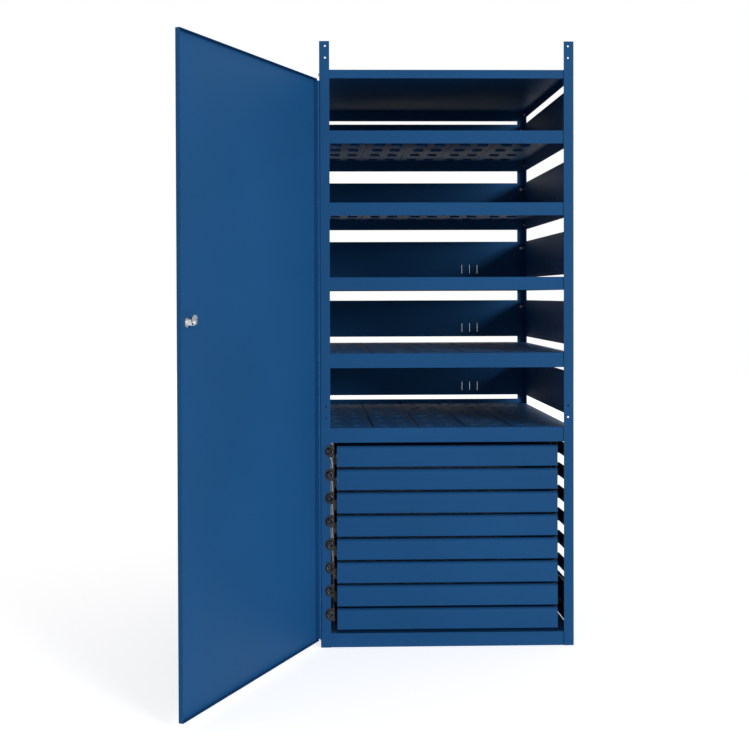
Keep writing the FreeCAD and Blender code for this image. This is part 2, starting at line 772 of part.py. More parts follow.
def make_drawer():
    """Drawer from the lower middle of its front face, which looks towards -Y."""
    body = new_body("drawer_1")
    face = new_sketch(body, "XZ_Plane")
    rectangle(face, "-drawer_width / 2", "0", "drawer_width / 2", "drawer_front_height")
    block = pad(body, face, "drawer_front_depth", backwards=True)
    top = edges_along(block, 0, lambda at: near(at.y, "0") and near(at.z, "drawer_front_height"))
    rolled = round_edges(body, block, top, "drawer_roll")
    foot = edges_along(rolled, 0, lambda at: near(at.y, "0") and near(at.z, "0"))
    bent = round_edges(body, rolled, foot, "drawer_foot_bend")
    doc.recompute()
    rear = [f"Face{number}" for number, side in enumerate(bent.Shape.Faces, start=1)
            if near(side.CenterOfMass.y, "drawer_front_depth")]
    shell = body.newObject("PartDesign::Thickness", "drawer_shell")
    shell.Base = (bent, rear)
    shell.Reversed = True
    bind(shell, "Value", "drawer_sheet")
    body.Tip = shell
    floor = new_sketch(body, "XY_Plane", "drawer_sheet")
    rectangle(floor, "-drawer_box_width / 2", "drawer_roll", "drawer_box_width / 2", "drawer_length")
    pad(body, floor, "drawer_box_height")
    room = new_sketch(body, "XY_Plane", "drawer_sheet + drawer_box_height")
    rectangle(room, "-drawer_box_width / 2 + drawer_sheet", "drawer_roll + drawer_sheet",
              "drawer_box_width / 2 - drawer_sheet", "drawer_length - drawer_sheet")
    pocket(body, room, "drawer_box_height - drawer_sheet")
    place(body, "0", f"-{POST_Y}", "first_drawer_top - drawer_front_height")
    return body


# Slides

SLIDE_START = "(slide_setback - cabinet_depth / 2)"


def channel(sketch, sign, back, inside, tips, inset):
    """Outline of a C section, its web from back to inside and its flanges out to tips."""
    low = f"{SLIDE_Z} + {inset}"
    high = f"{SLIDE_Z} + slide_height - {inset}"
    back, inside, tips = (f"{sign}({measure})" for measure in (back, inside, tips))
    outline(sketch, (
        (back, low),
        (tips, low),
        (tips, f"{low} + slide_sheet"),
        (inside, f"{low} + slide_sheet"),
        (inside, f"{high} - slide_sheet"),
        (tips, f"{high} - slide_sheet"),
        (tips, high),
        (back, high),
    ))


MEMBERS = {
    "cabinet": (SLIDE_X, f"{SLIDE_X} - slide_sheet", "drawer_box_width / 2 + slide_sheet + slide_play", "0"),
    "middle": (
        f"{SLIDE_X} - slide_sheet - slide_play",
        f"{SLIDE_X} - 2 * slide_sheet - slide_play",
        "drawer_box_width / 2 + slide_sheet + slide_play",
        "(slide_sheet + slide_play)",
    ),
    "drawer": (
        "drawer_box_width / 2",
        "drawer_box_width / 2 + slide_sheet",
        f"{SLIDE_X} - 2 * slide_sheet - 2 * slide_play",
        "(2 * slide_sheet + 2 * slide_play)",
    ),
}


def make_slide(label, member, signs, kept):
    body = new_body(label, kept, group=True)
    section = new_sketch(body, "XZ_Plane", f"-({SLIDE_START})")
    for sign in signs:
        channel(section, sign, *MEMBERS[member])
    pad(body, section, "slide_length", backwards=True)
    return body


def drawer_levels():
    return range(int(value("drawer_count")))


def stack(label, piece):
    """One copy of a piece at every drawer, joined in one group."""
    group_of(label, [
        copy_of(f"{label}_{number + 1}", piece, z=f"-{number} * drawer_pitch", kept=False)
        for number in drawer_levels()
    ])


first_drawer = make_drawer()
first_middle = make_slide("middle_slides_1", "middle", ("", "-"), kept=True)
first_member = make_slide("drawer_slides_1", "drawer", ("", "-"), kept=True)
moving_pieces = {"drawer": first_drawer, "middle_slides": first_middle, "drawer_slides": first_member}
for number in list(drawer_levels())[1:]:
    for kind, first in moving_pieces.items():
        copy_of(f"{kind}_{number + 1}", first, z=f"-{number} * drawer_pitch")
for name, sign in (("left", "-"), ("right", "")):
    stack(f"{name}_cabinet_slides", make_slide(f"{name}_cabinet_slide", "cabinet", (sign,), kept=False))


# Rails that carry the slides from post to post

RAIL_OUT = f"({SLIDE_X} + rail_sheet)"
LEG_OUT = f"({SLIDE_X} + rail_step + rail_sheet)"
LEG_IN = f"({SLIDE_X} + rail_step)"
REAR_STOP = "(cabinet_depth / 2 - post_sheet - 2 * panel_sheet)"
REAR_STEP = "(cabinet_depth / 2 - post_flange)"
FRONT_STEP = "(rail_setback - cabinet_depth / 2)"
HOOK_Z = f"({SLIDE_Z} + slide_height / 2)"


def rail_back(sign):
    """The part of a rail's outline that steps out to the rear post."""
    return [
        (f"{sign}{RAIL_OUT}", f"{REAR_STEP} - rail_sheet"),
        (f"{sign}{LEG_OUT}", f"{REAR_STEP} - rail_sheet"),
        (f"{sign}{LEG_OUT}", REAR_STOP),
        (f"{sign}{LEG_IN}", REAR_STOP),
        (f"{sign}{LEG_IN}", REAR_STEP),
        (f"{sign}{SLIDE_X}", REAR_STEP),
    ]


def make_right_rail():
    """Bent strip whose front leg ends behind the post's flange."""
    body = new_body("right_rail", kept=False)
    plan = new_sketch(body, "XY_Plane", SLIDE_Z)
    outline(plan, rail_back("") + [
        (SLIDE_X, FRONT_STEP),
        (LEG_IN, FRONT_STEP),
        (LEG_IN, f"-{INNER_Y}"),
        (LEG_OUT, f"-{INNER_Y}"),
        (LEG_OUT, f"{FRONT_STEP} + rail_sheet"),
        (RAIL_OUT, f"{FRONT_STEP} + rail_sheet"),
    ])
    pad(body, plan, "slide_height")
    return body


def make_left_rail():
    """Bent strip whose front end hooks over the post's face in a rounded, dished tab."""
    body = new_body("left_rail", kept=False)
    plan = new_sketch(body, "XY_Plane", SLIDE_Z)
    outline(plan, rail_back("-") + [
        (f"-{SLIDE_X}", f"-({POST_Y} + rail_sheet)"),
        (f"-{RAIL_OUT}", f"-({POST_Y} + rail_sheet)"),
    ])
    pad(body, plan, "slide_height")
    tab = new_sketch(body, "XZ_Plane", POST_Y)
    hook_x = f"-({SLIDE_X} + hook_reach)"
    centre = FreeCAD.Vector(value(hook_x), value(HOOK_Z), 0)
    round_end = Part.Circle(centre, FreeCAD.Vector(0, 0, 1), value("hook_radius"))
    arc = tab.addGeometry(Part.ArcOfCircle(round_end, math.pi / 2, 3 * math.pi / 2))
    pin_point(tab, arc, 3, hook_x, HOOK_Z)
    index = tab.addConstraint(Sketcher.Constraint("Radius", arc, value("hook_radius")))
    tab.setExpression(f"Constraints[{index}]", formula("hook_radius"))
    for point in (1, 2):
        tab.addConstraint(Sketcher.Constraint("Vertical", arc, point, arc, 3))
    root = value(f"-{SLIDE_X}")
    top = tab.Geometry[arc].StartPoint
    bottom = tab.Geometry[arc].EndPoint
    corners = [bottom, FreeCAD.Vector(root, bottom.y, 0), FreeCAD.Vector(root, top.y, 0), top]
    lines = [tab.addGeometry(Part.LineSegment(start, end)) for start, end in zip(corners, corners[1:])]
    for before, after in zip([arc, *lines], [*lines, arc]):
        tab.addConstraint(Sketcher.Constraint("Coincident", before, 2, after, 1))
    pin_point(tab, lines[1], 1, f"-{SLIDE_X}", f"{HOOK_Z} - hook_radius")
    pin_point(tab, lines[1], 2, f"-{SLIDE_X}", f"{HOOK_Z} + hook_radius")
    pad(body, tab, "rail_sheet")
    boss = new_sketch(body, "XZ_Plane", f"{POST_Y} + rail_sheet")
    boss_x = f"-({SLIDE_X} + boss_reach)"
    circle(boss, boss_x, HOOK_Z, "boss_radius")
    pad(body, boss, "boss_height", taper="-boss_slope")
    dish = new_sketch(body, "XZ_Plane", f"{POST_Y} + rail_sheet + boss_height")
    circle(dish, boss_x, HOOK_Z, "boss_hole")
    pocket(body, dish, "boss_height")
    return body


stack("right_slide_rails", make_right_rail())
stack("left_slide_rails", make_left_rail())

strips = []
for name, x in (("right", f"{LEG_IN} - rail_sheet"), ("left", f"-({LEG_OUT} + rail_sheet)")):
    strip = doc.addObject("Part::Box", f"{name}_strip")
    bind(strip, "Length", "3 * rail_sheet")
    bind(strip, "Width", "2 * panel_sheet")
    bind(strip, "Height", f"drawer_bay_level - deep_lip - {LOWEST_PANEL_TOP}")
    place(strip, x, REAR_STOP, LOWEST_PANEL_TOP)
    strips.append(strip)
group_of("rear_packing_strips", strips)


# Checks and export

doc.removeObject(trial.Name)
doc.recompute()
for item in doc.Objects:
    if "Invalid" in item.State or "Error" in item.State:
        raise RuntimeError(f"{item.Label} failed: {item.State}")
for item in NODES:
    if item.Shape.isNull() or not item.Shape.isValid() or not item.Shape.Solids:
        raise RuntimeError(f"{item.Label} has no valid solid")

os.makedirs("parts", exist_ok=True)
for item in NODES:
    item.Shape.exportStep(f"parts/{item.Label}.step")
    print(f"{item.Label}: {len(item.Shape.Solids)} solids, {item.Shape.Volume / 1000:.1f} cm3")
print(len(NODES), "nodes")
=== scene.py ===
import json
import math
from contextlib import contextmanager

import bmesh
import bpy
from bpy.props import FloatProperty, FloatVectorProperty, IntProperty, PointerProperty
from mathutils import Matrix, Vector


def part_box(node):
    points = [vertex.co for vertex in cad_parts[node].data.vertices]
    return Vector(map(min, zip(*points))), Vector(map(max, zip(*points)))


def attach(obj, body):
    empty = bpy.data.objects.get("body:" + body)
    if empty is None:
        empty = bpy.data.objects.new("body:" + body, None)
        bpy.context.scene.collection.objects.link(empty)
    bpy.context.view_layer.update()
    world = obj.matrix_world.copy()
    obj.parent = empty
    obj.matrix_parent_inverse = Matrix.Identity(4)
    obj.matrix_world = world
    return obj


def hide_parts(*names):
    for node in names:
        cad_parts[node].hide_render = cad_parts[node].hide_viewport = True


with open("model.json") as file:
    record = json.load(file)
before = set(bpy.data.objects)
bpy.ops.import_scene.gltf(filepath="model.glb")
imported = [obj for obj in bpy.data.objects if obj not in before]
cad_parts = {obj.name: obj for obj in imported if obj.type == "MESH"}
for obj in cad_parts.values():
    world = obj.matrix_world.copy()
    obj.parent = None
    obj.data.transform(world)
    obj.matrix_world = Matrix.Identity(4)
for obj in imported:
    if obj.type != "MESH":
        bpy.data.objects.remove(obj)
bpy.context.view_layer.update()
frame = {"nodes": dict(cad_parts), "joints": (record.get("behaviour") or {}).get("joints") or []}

bl_info = {
    "name": "Drawer and shelf cabinet",
    "version": (1, 0, 0),
    "blender": (4, 5, 0),
    "location": "3D View > Sidebar > Cabinet",
    "description": "Builds the sheet steel, the fittings and the stage of a drawer and shelf cabinet",
    "category": "Object",
}

MM = 0.001

TRAYS = ("top_shelf", "second_shelf", "third_shelf", "fourth_shelf", "fifth_shelf", "drawer_bay_shelf",
         "base_shelf")
SLOTTED_TRAYS = TRAYS[1:-1]
STOPPED_TRAY = "drawer_bay_shelf"
POSTS = {
    "front_left_post": (1, 1),
    "front_right_post": (-1, 1),
    "rear_right_post": (-1, -1),
    "rear_left_post": (1, -1),
}
BACK_PANELS = tuple(name for name in frame["nodes"] if name.startswith("back_panel_"))
DRAWERS = tuple(sorted(name for name in frame["nodes"] if name.startswith("drawer_") and name[7:].isdigit()))
DOOR_JOINT = next(joint for joint in frame["joints"] if joint["name"] == "door_swing")

LOW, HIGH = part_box("front_left_post")
HALF_WIDTH = -LOW.x
HALF_DEPTH = -LOW.y
UP = Vector((0, 0, 1))


# Settings

def length_of(name, description, millimetres):
    return FloatProperty(name=name, description=description, unit="LENGTH", min=0.01 * MM,
                         default=millimetres * MM)


def angle_of(name, description, degrees):
    return FloatProperty(name=name, description=description, subtype="ANGLE", default=math.radians(degrees))


def amount_of(name, description, default):
    return FloatProperty(name=name, description=description, min=0, default=default)


def count_of(name, description, default):
    return IntProperty(name=name, description=description, min=1, default=default)


def colour_of(name, description, default):
    return FloatVectorProperty(name=name, description=description, subtype="COLOR", size=3, min=0, max=1,
                               default=default)


class PaintSettings(bpy.types.PropertyGroup):
    blue: colour_of("Paint colour", "Colour of the enamel on the sheet steel", (0.0095, 0.0735, 0.203))
    blue_roughness: amount_of("Paint roughness", "How dull the enamel is", 0.5)
    blue_gloss: amount_of("Paint gloss", "Specular level of the enamel", 0.09)
    # Zinc colour kept very dark: partly the plating's own colour, partly painted shade for the shadow that
    # the slides and rails sit in.
    shade_darkened_zinc: colour_of("Zinc colour", "Colour of the plating on slides and rails", (0.035, 0.035, 0.04))
    bolt_zinc: colour_of("Bolt colour", "Colour of the plating on bolts and nuts", (0.4, 0.4, 0.42))
    chrome: colour_of("Chrome colour", "Colour of the plated lock", (0.78, 0.79, 0.8))
    peel_size: length_of("Orange peel size", "Size of the ripples in the enamel", 2.2)


class SheetSettings(bpy.types.PropertyGroup):
    post_wall: length_of("Post wall", "Thickness of the posts", 2.5)
    post_bend: length_of("Post bend", "Radius of the posts' fold", 2.2)
    tray_wall: length_of("Tray wall", "Thickness of the shelves", 1.5)
    tray_bend: length_of("Tray bend", "Radius of the shelves' folds", 3)
    panel_wall: length_of("Panel wall", "Thickness of the back and side panels", 1.15)
    edge_round: length_of("Edge rounding", "Rounding of cut sheet edges under the paint", 0.35)


class TraySettings(bpy.types.PropertyGroup):
    groove_start: length_of("First groove", "Distance of the first pressed groove from the left edge", 171.5)
    groove_pitch: length_of("Groove pitch", "Distance between pressed grooves", 154)
    groove_count: count_of("Grooves", "Number of pressed grooves", 4)
    groove_width: length_of("Groove width", "Width of a groove at the top", 9)
    groove_depth: length_of("Groove depth", "Depth of a groove", 2.5)
    slot_length: length_of("Slot length", "Length of a slot", 36)
    slot_width: length_of("Slot width", "Width of a slot", 26)
    slot_pair: length_of("Slot pair pitch", "Distance between the two slots of a pair", 66)
    slot_row_start: length_of("First slot row", "Distance of the first row from the front edge", 72.5)
    slot_row_pitch: length_of("Slot row pitch", "Distance between rows of slots", 150)
    slot_rows: count_of("Slot rows", "Number of rows of slots", 6)
    collar_depth: length_of("Collar depth", "How far a slot's drawn edge reaches below the deck", 5)
    collar_wall: length_of("Collar wall", "Thickness of a slot's drawn edge", 1)
    rear_drop: length_of("Rear drop", "How far the top shelf's rear lip hangs below its other lips", 11.5)
    rear_stop: length_of("Rear stop", "Height of the strip behind the deck above the drawers", 16.5)


class PanelSettings(bpy.types.PropertyGroup):
    hem: length_of("Hem", "Height of the folded hems", 12)
    bolt_rise: length_of("Bolt height", "Height of the bolts above a panel's lower edge", 120)
    vent_start: length_of("First vent", "Distance of the first vent from the panel's end", 237.5)
    vent_pitch: length_of("Vent pitch", "Distance between vents", 31)
    vents: count_of("Vents", "Number of pressed vents", 14)
    slit_vents: count_of("Slit vents", "Vents at the end of the row that are slit through", 3)
    vent_bottom: length_of("Vent height", "Height of the vents above the panel's lower edge", 14)
    vent_length: length_of("Vent length", "Length of a vent", 44)
    vent_width: length_of("Vent width", "Width of a vent", 10)
    vent_depth: length_of("Vent depth", "Depth of a vent's recess", 0.75)
    slit_width: length_of("Slit width", "Width of the slit in a vent", 0.7)


class FittingSettings(bpy.types.PropertyGroup):
    hole_line: length_of("Hole line", "Distance of the holes from a post's corner", 19)
    post_hole: length_of("Post hole", "Radius of the punched holes in the posts", 3.3)
    hole_drop: length_of("Top hole drop", "Distance of the first hole from a post's top", 16)
    hole_pitch: length_of("Hole pitch", "Distance between a pair of holes", 38.5)
    spare_hole: length_of(
        "Spare hole height", "Height of the lower of the spare holes in the front posts", 759)
    bolt_head: length_of("Bolt head radius", "Radius of a bolt's head", 5)
    bolt_height: length_of("Bolt head height", "Height of a bolt's head", 3)
    nut_radius: length_of("Nut radius", "Radius to a nut's corners", 5.77)
    nut_height: length_of("Nut height", "Height of a nut", 5)
    shank: length_of("Shank", "Radius of a bolt's shank", 3)
    tail: length_of("Bolt tail", "Length of a bolt past its nut", 1.5)


class DoorSettings(bpy.types.PropertyGroup):
    width: length_of("Door width", "Width of the door", 836)
    flange: length_of("Door flange", "Depth of the door's folded rim", 15)
    wall: length_of("Door wall", "Thickness of the door and the hinge leaves", 1.5)
    bend: length_of("Door bend", "Radius of the door's folds", 1.8)
    gap: length_of("Door gap", "Gap between the closed door and the posts", 3)
    knuckle: length_of("Knuckle radius", "Radius of the hinge knuckles", 3.5)
    knuckles: count_of("Knuckles", "Number of hinge knuckles", 46)
    knuckle_play: length_of("Knuckle play", "Gap between two knuckles", 0.5)
    leaf: length_of("Leaf width", "Width of a hinge leaf", 13)


class LockSettings(bpy.types.PropertyGroup):
    radius: length_of("Barrel radius", "Radius of the lock's barrel", 9)
    length: length_of("Barrel length", "Length of the barrel inside the door", 26)
    play: length_of("Lock play", "Room round the barrel in the door and the nut", 0.1)
    rim_radius: length_of("Rim radius", "Radius of the lock's face", 12)
    rim_height: length_of("Rim height", "Height of the lock's face", 3)
    keyway_length: length_of("Keyway length", "Length of the keyway", 9)
    keyway_width: length_of("Keyway width", "Width of the keyway", 2.2)
    keyway_depth: length_of("Keyway depth", "Depth of the keyway", 2)
    thread_pitch: length_of("Thread pitch", "Distance between the barrel's grooves", 2.5)
    nut_radius: length_of("Lock nut radius", "Radius to the corners of the lock's nut", 13.8)
    nut_height: length_of("Lock nut height", "Height of the lock's nut", 5)
    cam_radius: length_of("Cam radius", "Radius of the cam", 14)
    cam_offset: length_of("Cam offset", "Distance of the cam's middle from the lock's axis", 7)
    cam_wall: length_of("Cam thickness", "Thickness of the cam", 3)
    cam_notch: length_of("Cam notch", "Radius of the cam's notch", 3.5)
    screw_radius: length_of("Screw radius", "Radius of the cam screw's head", 5)
    screw_height: length_of("Screw height", "Height of the cam screw's head", 3)


class DrawerSettings(bpy.types.PropertyGroup):
    wall: length_of("Drawer wall", "Thickness of the drawers", 1.2)
    front_depth: length_of("Front depth", "Depth of a drawer's hollow front", 20)
    roll: length_of("Front roll", "Radius of the rolled upper edge of a front", 14)
    foot: length_of("Front foot", "Radius of the lower edge of a front", 3.5)
    box_width: length_of("Box width", "Width of the tray behind a front", 726)
    box_height: length_of("Box height", "Height of the tray behind a front", 60)
    box_bend: length_of("Box bend", "Radius of the tray's folds", 1.6)


class RunnerSettings(bpy.types.PropertyGroup):
    height: length_of("Slide height", "Height of the slides and the rails", 45)
    wall: length_of("Slide wall", "Thickness of a slide's members", 1.5)
    play: length_of("Slide play", "Running clearance between two members", 0.4)
    rail_wall: length_of("Rail wall", "Thickness of the rails", 2)
    rail_setback: length_of("Rail setback", "Distance of the right rails from the front", 100)
    rear_leg: length_of("Rear leg", "Depth of the rails' rear legs from the back", 33)
    hook_reach: length_of("Hook reach", "Distance of the hooked tab's round end from the rail", 8)
    hook_radius: length_of("Hook radius", "Radius of the hooked tab", 21)
    boss_reach: length_of("Boss reach", "Distance of the boss from the rail", 13.5)
    boss_radius: length_of("Boss radius", "Radius of the boss at its foot", 13)
    boss_height: length_of("Boss height", "Height of the boss", 6)
    boss_slope: angle_of("Boss slope", "Slope of the boss's side", 30)


class StageSettings(bpy.types.PropertyGroup):
    floor: colour_of("Floor colour", "Colour of the floor", (0.85, 0.85, 0.85))
    floor_glow: amount_of("Floor brightness", "Light that the camera sees on the floor beside its own", 0.62)
    room: amount_of("Room light", "Strength of the light from all round", 0.47)
    key: amount_of("Front light", "Strength of the soft front light", 2.0)
    key_azimuth: angle_of("Front light azimuth", "Turn of the front light to the right", 38)
    key_height: angle_of("Front light height", "Angle of the front light above the floor", 12)
    key_spread: angle_of("Front light spread", "Apparent size of the front light", 20)
    lens: amount_of("Lens", "Focal length in widths of the picture", 1.58955)
    shift: FloatVectorProperty(
        name="Camera shift", description="Shift of the lens in widths of the picture", size=2,
        default=(0.044059, -0.084192))
    camera_place: FloatVectorProperty(
        name="Camera place", description="Place of the camera", size=3, subtype="TRANSLATION", unit="LENGTH",
        default=(-0.44329, -4.3705, 1.16555))
    camera_turn: FloatVectorProperty(
        name="Camera turn", description="Turn of the camera: tilt from level, roll and heading", size=3,
        default=(-0.01375, -0.00319, -0.02401))


def settings(name):
    return getattr(bpy.context.scene, f"cabinet_{name}")


# Modelling tools

def activate(*pieces):
    """Select some pieces alone, the first of them active."""
    bpy.ops.object.select_all(action="DESELECT")
    for piece in pieces:
        piece.select_set(True)
    bpy.context.view_layer.objects.active = pieces[0]


@contextmanager
def editing(piece):
    """Edit mode on one piece alone."""
    activate(piece)
    bpy.ops.object.mode_set(mode="EDIT")
    yield
    bpy.ops.object.mode_set(mode="OBJECT")


def pick(piece, kind, test):
    """Select the vertices, edges or faces whose middle passes a test, and nothing else."""
    bpy.ops.mesh.select_mode(type=kind)
    bpy.ops.mesh.select_all(action="DESELECT")
    mesh = bmesh.from_edit_mesh(piece.data)
    items = {"VERT": mesh.verts, "EDGE": mesh.edges, "FACE": mesh.faces}[kind]
    found = 0
    for item in items:
        corners = [item] if kind == "VERT" else item.verts
        middle = sum((corner.co for corner in corners), Vector()) / len(corners)
        if test(middle, item):
            item.select_set(True)
            found += 1
    mesh.select_flush_mode()
    bmesh.update_edit_mesh(piece.data)
    if not found:
        raise RuntimeError(f"nothing to select on {piece.name}")


def slice_at(place, normal):
    """Edges where a plane meets the piece in edit mode."""
    bpy.ops.mesh.select_all(action="SELECT")
    bpy.ops.mesh.bisect(plane_co=place, plane_no=normal)


def close(first, second):
    return abs(first - second) < 0.00001


def add(name, kind, **place):
    bpy.ops.object.select_all(action="DESELECT")
    getattr(bpy.ops.mesh, f"primitive_{kind}_add")(**place)
    piece = bpy.context.object
    piece.name = name
    piece.data.name = name
    return piece


def settle(piece, size=(1, 1, 1)):
    """Scale a piece and put its place and turn into its mesh."""
    activate(piece)
    piece.scale = size
    bpy.ops.object.transform_apply(location=True, rotation=True, scale=True)
    return piece


def move(piece, matrix):
    piece.matrix_world = matrix
    activate(piece)
    bpy.ops.object.transform_apply(location=True, rotation=True, scale=True)
    return piece


def modify(piece, kind, **values):
    """Add a modifier with its values and apply it."""
    bpy.context.view_layer.objects.active = piece
    modifier = piece.modifiers.new(kind.lower(), kind)
    for name, number in values.items():
        setattr(modifier, name, number)
    bpy.ops.object.modifier_apply(modifier=modifier.name)


def block(name, low, high):
    low, high = Vector(low), Vector(high)
    piece = add(name, "cube", size=1, location=(low + high) / 2)
    return settle(piece, high - low)


def rod(name, corners, radius, bottom, top):
    """Upright round or many-sided bar on the z axis."""
    return settle(add(name, "cylinder", vertices=corners, radius=radius, depth=top - bottom,
                      location=(0, 0, (bottom + top) / 2)))


def fold_sheet(name, path, run, wall, bend):
    """Bent sheet: a strip on the path's first leg, extruded leg by leg, its folds rounded and thickened."""
    path = [Vector(point) for point in path]
    run = Vector(run)
    leg = path[1] - path[0]
    turn = Matrix((leg.normalized(), run.normalized(), leg.cross(run).normalized())).transposed()
    piece = add(name, "plane", size=1, location=path[0] + (leg + run) / 2, rotation=turn.to_euler())
    settle(piece, (leg.length, run.length, 1))
    with editing(piece):
        for start, end in zip(path[1:], path[2:]):
            pick(piece, "EDGE", lambda at, edge: (at - start - run / 2).length < 0.00002)
            bpy.ops.mesh.extrude_edges_move(TRANSFORM_OT_translate={"value": end - start})
        folds = [corner + run / 2 for corner in path[1:-1]]
        if folds:
            pick(piece, "EDGE", lambda at, edge: any((at - fold).length < 0.00002 for fold in folds))
            bpy.ops.mesh.bevel(offset=bend, segments=4, affect="EDGES")
    modify(piece, "SOLIDIFY", thickness=wall, offset=0, use_even_offset=True)
    return piece


def soften(piece, width, segments=2, angle=35):
    """Round the sharp edges a little and shade the rest smooth."""
    modify(piece, "BEVEL", width=width, segments=segments, limit_method="ANGLE",
           angle_limit=math.radians(angle), use_clamp_overlap=True)
    shade(piece)


def shade(piece, angle=35):
    """Smooth shading between creases, with the flat faces kept flat."""
    activate(piece)
    bpy.ops.object.shade_smooth_by_angle(angle=math.radians(angle))
    modify(piece, "WEIGHTED_NORMAL", keep_sharp=True)


def row(piece, copies, step):
    modify(piece, "ARRAY", count=copies, use_relative_offset=False, use_constant_offset=True,
           constant_offset_displace=step)


def cut(piece, *cutters):
    for cutter in cutters:
        modify(piece, "BOOLEAN", operation="DIFFERENCE", solver="EXACT", object=cutter)
        bpy.data.objects.remove(cutter)


def drill(place, axis, radius, depth=12 * MM, corners=24):
    """Round cutter along an axis."""
    return settle(add("drill", "cylinder", vertices=corners, radius=radius, depth=depth, location=place,
                      rotation=Vector(axis).to_track_quat("Z", "Y").to_euler()))


def punch(place, along, axis, length, width, depth):
    """Cutter for a slot with round ends, along one way and cutting another."""
    along, axis = Vector(along), Vector(axis)
    sides = 16
    turn = Matrix((along, axis.cross(along), axis)).transposed().to_4x4()
    cutter = add("punch", "cylinder", vertices=sides, radius=width / 2, depth=depth,
                 rotation=(0, 0, math.pi / sides))
    settle(cutter)
    with editing(cutter):
        for sign in (-1, 1):
            pick(cutter, "VERT", lambda at, corner: sign * at.x > 0 and abs(at.x) <= width / 2)
            bpy.ops.transform.translate(value=(sign * (length - width) / 2, 0, 0))
    return move(cutter, Matrix.Translation(place) @ turn)


def copy_of(piece, name, shift=(0, 0, 0), matrix=None):
    """A further piece of the same shape, with a mesh of its own."""
    copy = piece.copy()
    copy.data = piece.data.copy()
    copy.name = name
    copy.data.name = name
    bpy.context.collection.objects.link(copy)
    return move(copy, matrix or Matrix.Translation(shift))


def join(name, pieces):
    activate(*pieces)
    bpy.ops.object.join()
    pieces[0].name = name
    pieces[0].data.name = name
    return pieces[0]


def finish_piece(piece, body, slot, *nodes):
    """Give a piece its finish, its body and the nodes that it stands for."""
    piece.data.materials.clear()
    piece.data.materials.append(finish(slot))
    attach(piece, body)
    if nodes:
        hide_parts(*nodes)
    return piece


def dress_node(node, slot):
    """Give a CAD node its finish."""
    piece = frame["nodes"][node]
    piece.data.materials.clear()
    piece.data.materials.append(finish(slot))


# Finishes

def feed(tree, item, inputs):
    """Link or set the inputs of a node."""
    for name, source in inputs.items():
        socket = item.inputs[name]
        if isinstance(source, bpy.types.NodeSocket):
            tree.links.new(source, socket)
        else:
            socket.default_value = source
    return item


def node(tree, kind, inputs=None, **values):
    """Add a node, set its values and feed its inputs."""
    item = tree.nodes.new(f"ShaderNode{kind}")
    for name, setting in values.items():
        setattr(item, name, setting)
    return feed(tree, item, inputs or {})


def reckon(tree, operation, first, second, clamp=False):
    return node(tree, "Math", {0: first, 1: second}, operation=operation, use_clamp=clamp).outputs[0]


def spread(tree, value, low, high, to_low=0.0, to_high=1.0):
    """A value taken from one range to another."""
    return node(tree, "MapRange", {"Value": value, "From Min": low, "From Max": high, "To Min": to_low,
                                   "To Max": to_high}).outputs[0]


def noise(tree, place, scale, detail, roughness=0.5):
    return node(tree, "TexNoise", {"Vector": place, "Scale": scale, "Detail": detail,
                                   "Roughness": roughness}).outputs["Fac"]


def colour_mix(tree, factor, first, second):
    """Mix of two colours, each a socket or a plain colour."""
    item = node(tree, "Mix", data_type="RGBA")
    return feed(tree, item, {0: factor, 6: first, 7: second}).outputs[2]


def tint(colour, gain, lift=0.0):
    return tuple(min(part * gain + lift, 1.0) for part in colour) + (1.0,)


def enamel_peel(group, given):
    """Ripples of enamel, with slow waves of the sheet under it."""
    place = given["Place"]
    ripple = noise(group, place, given["Ripple scale"], 2.0, 0.45)
    wave = noise(group, place, given["Wave scale"], 1.0, 0.4)
    height = reckon(group, "ADD", reckon(group, "MULTIPLY", wave, given["Wave share"]),
                    reckon(group, "MULTIPLY", ripple, 0.02))
    return {"Height": height, "Tone": noise(group, place, 2.6, 2.0, 0.4)}


def worn_and_highlit_edges(group, given):
    """Lighter convex edges broken up by noise: rubbed edges, and on the plated steel also a painted
    highlight.
    """
    edge = spread(group, node(group, "NewGeometry").outputs["Pointiness"], 0.56, 0.64)
    patch = spread(group, noise(group, given["Place"], given["Break-up scale"], 4.0), 0.4, 0.65)
    both = reckon(group, "MULTIPLY", edge, patch)
    return {"Mask": reckon(group, "MULTIPLY", both, given["Amount"], clamp=True)}


def settled_dust(group, given):
    """Fine dust that settles on surfaces that look up."""
    facing = node(group, "SeparateXYZ", {"Vector": node(group, "NewGeometry").outputs["Normal"]})
    specks = spread(group, noise(group, given["Place"], 9.0, 8.0, 0.7), 0.35, 0.75)
    both = reckon(group, "MULTIPLY", spread(group, facing.outputs["Z"], 0.5, 1.0), specks)
    return {"Mask": reckon(group, "MULTIPLY", both, given["Amount"], clamp=True)}


def plating(group, given):
    """Crystals and fine drawing lines of plated steel."""
    crystal = node(group, "TexVoronoi", {"Vector": given["Place"], "Scale": given["Crystal scale"]})
    tones = node(group, "SeparateXYZ", {"Vector": crystal.outputs["Color"]})
    stretch = node(group, "Mapping", {"Vector": given["Place"], "Scale": (1.0, 0.03, 1.0)})
    return {"Crystals": tones.outputs["X"],
            "Lines": noise(group, stretch.outputs["Vector"], given["Line scale"], 3.0)}


EFFECTS = {
    "enamel_peel": (enamel_peel, {"Ripple scale": 450, "Wave scale": 5, "Wave share": 0.7}),
    "worn_and_highlit_edges": (worn_and_highlit_edges, {"Amount": 0.5, "Break-up scale": 60}),
    "settled_dust": (settled_dust, {"Amount": 0.03}),
    "plating": (plating, {"Crystal scale": 120, "Line scale": 900}),
}


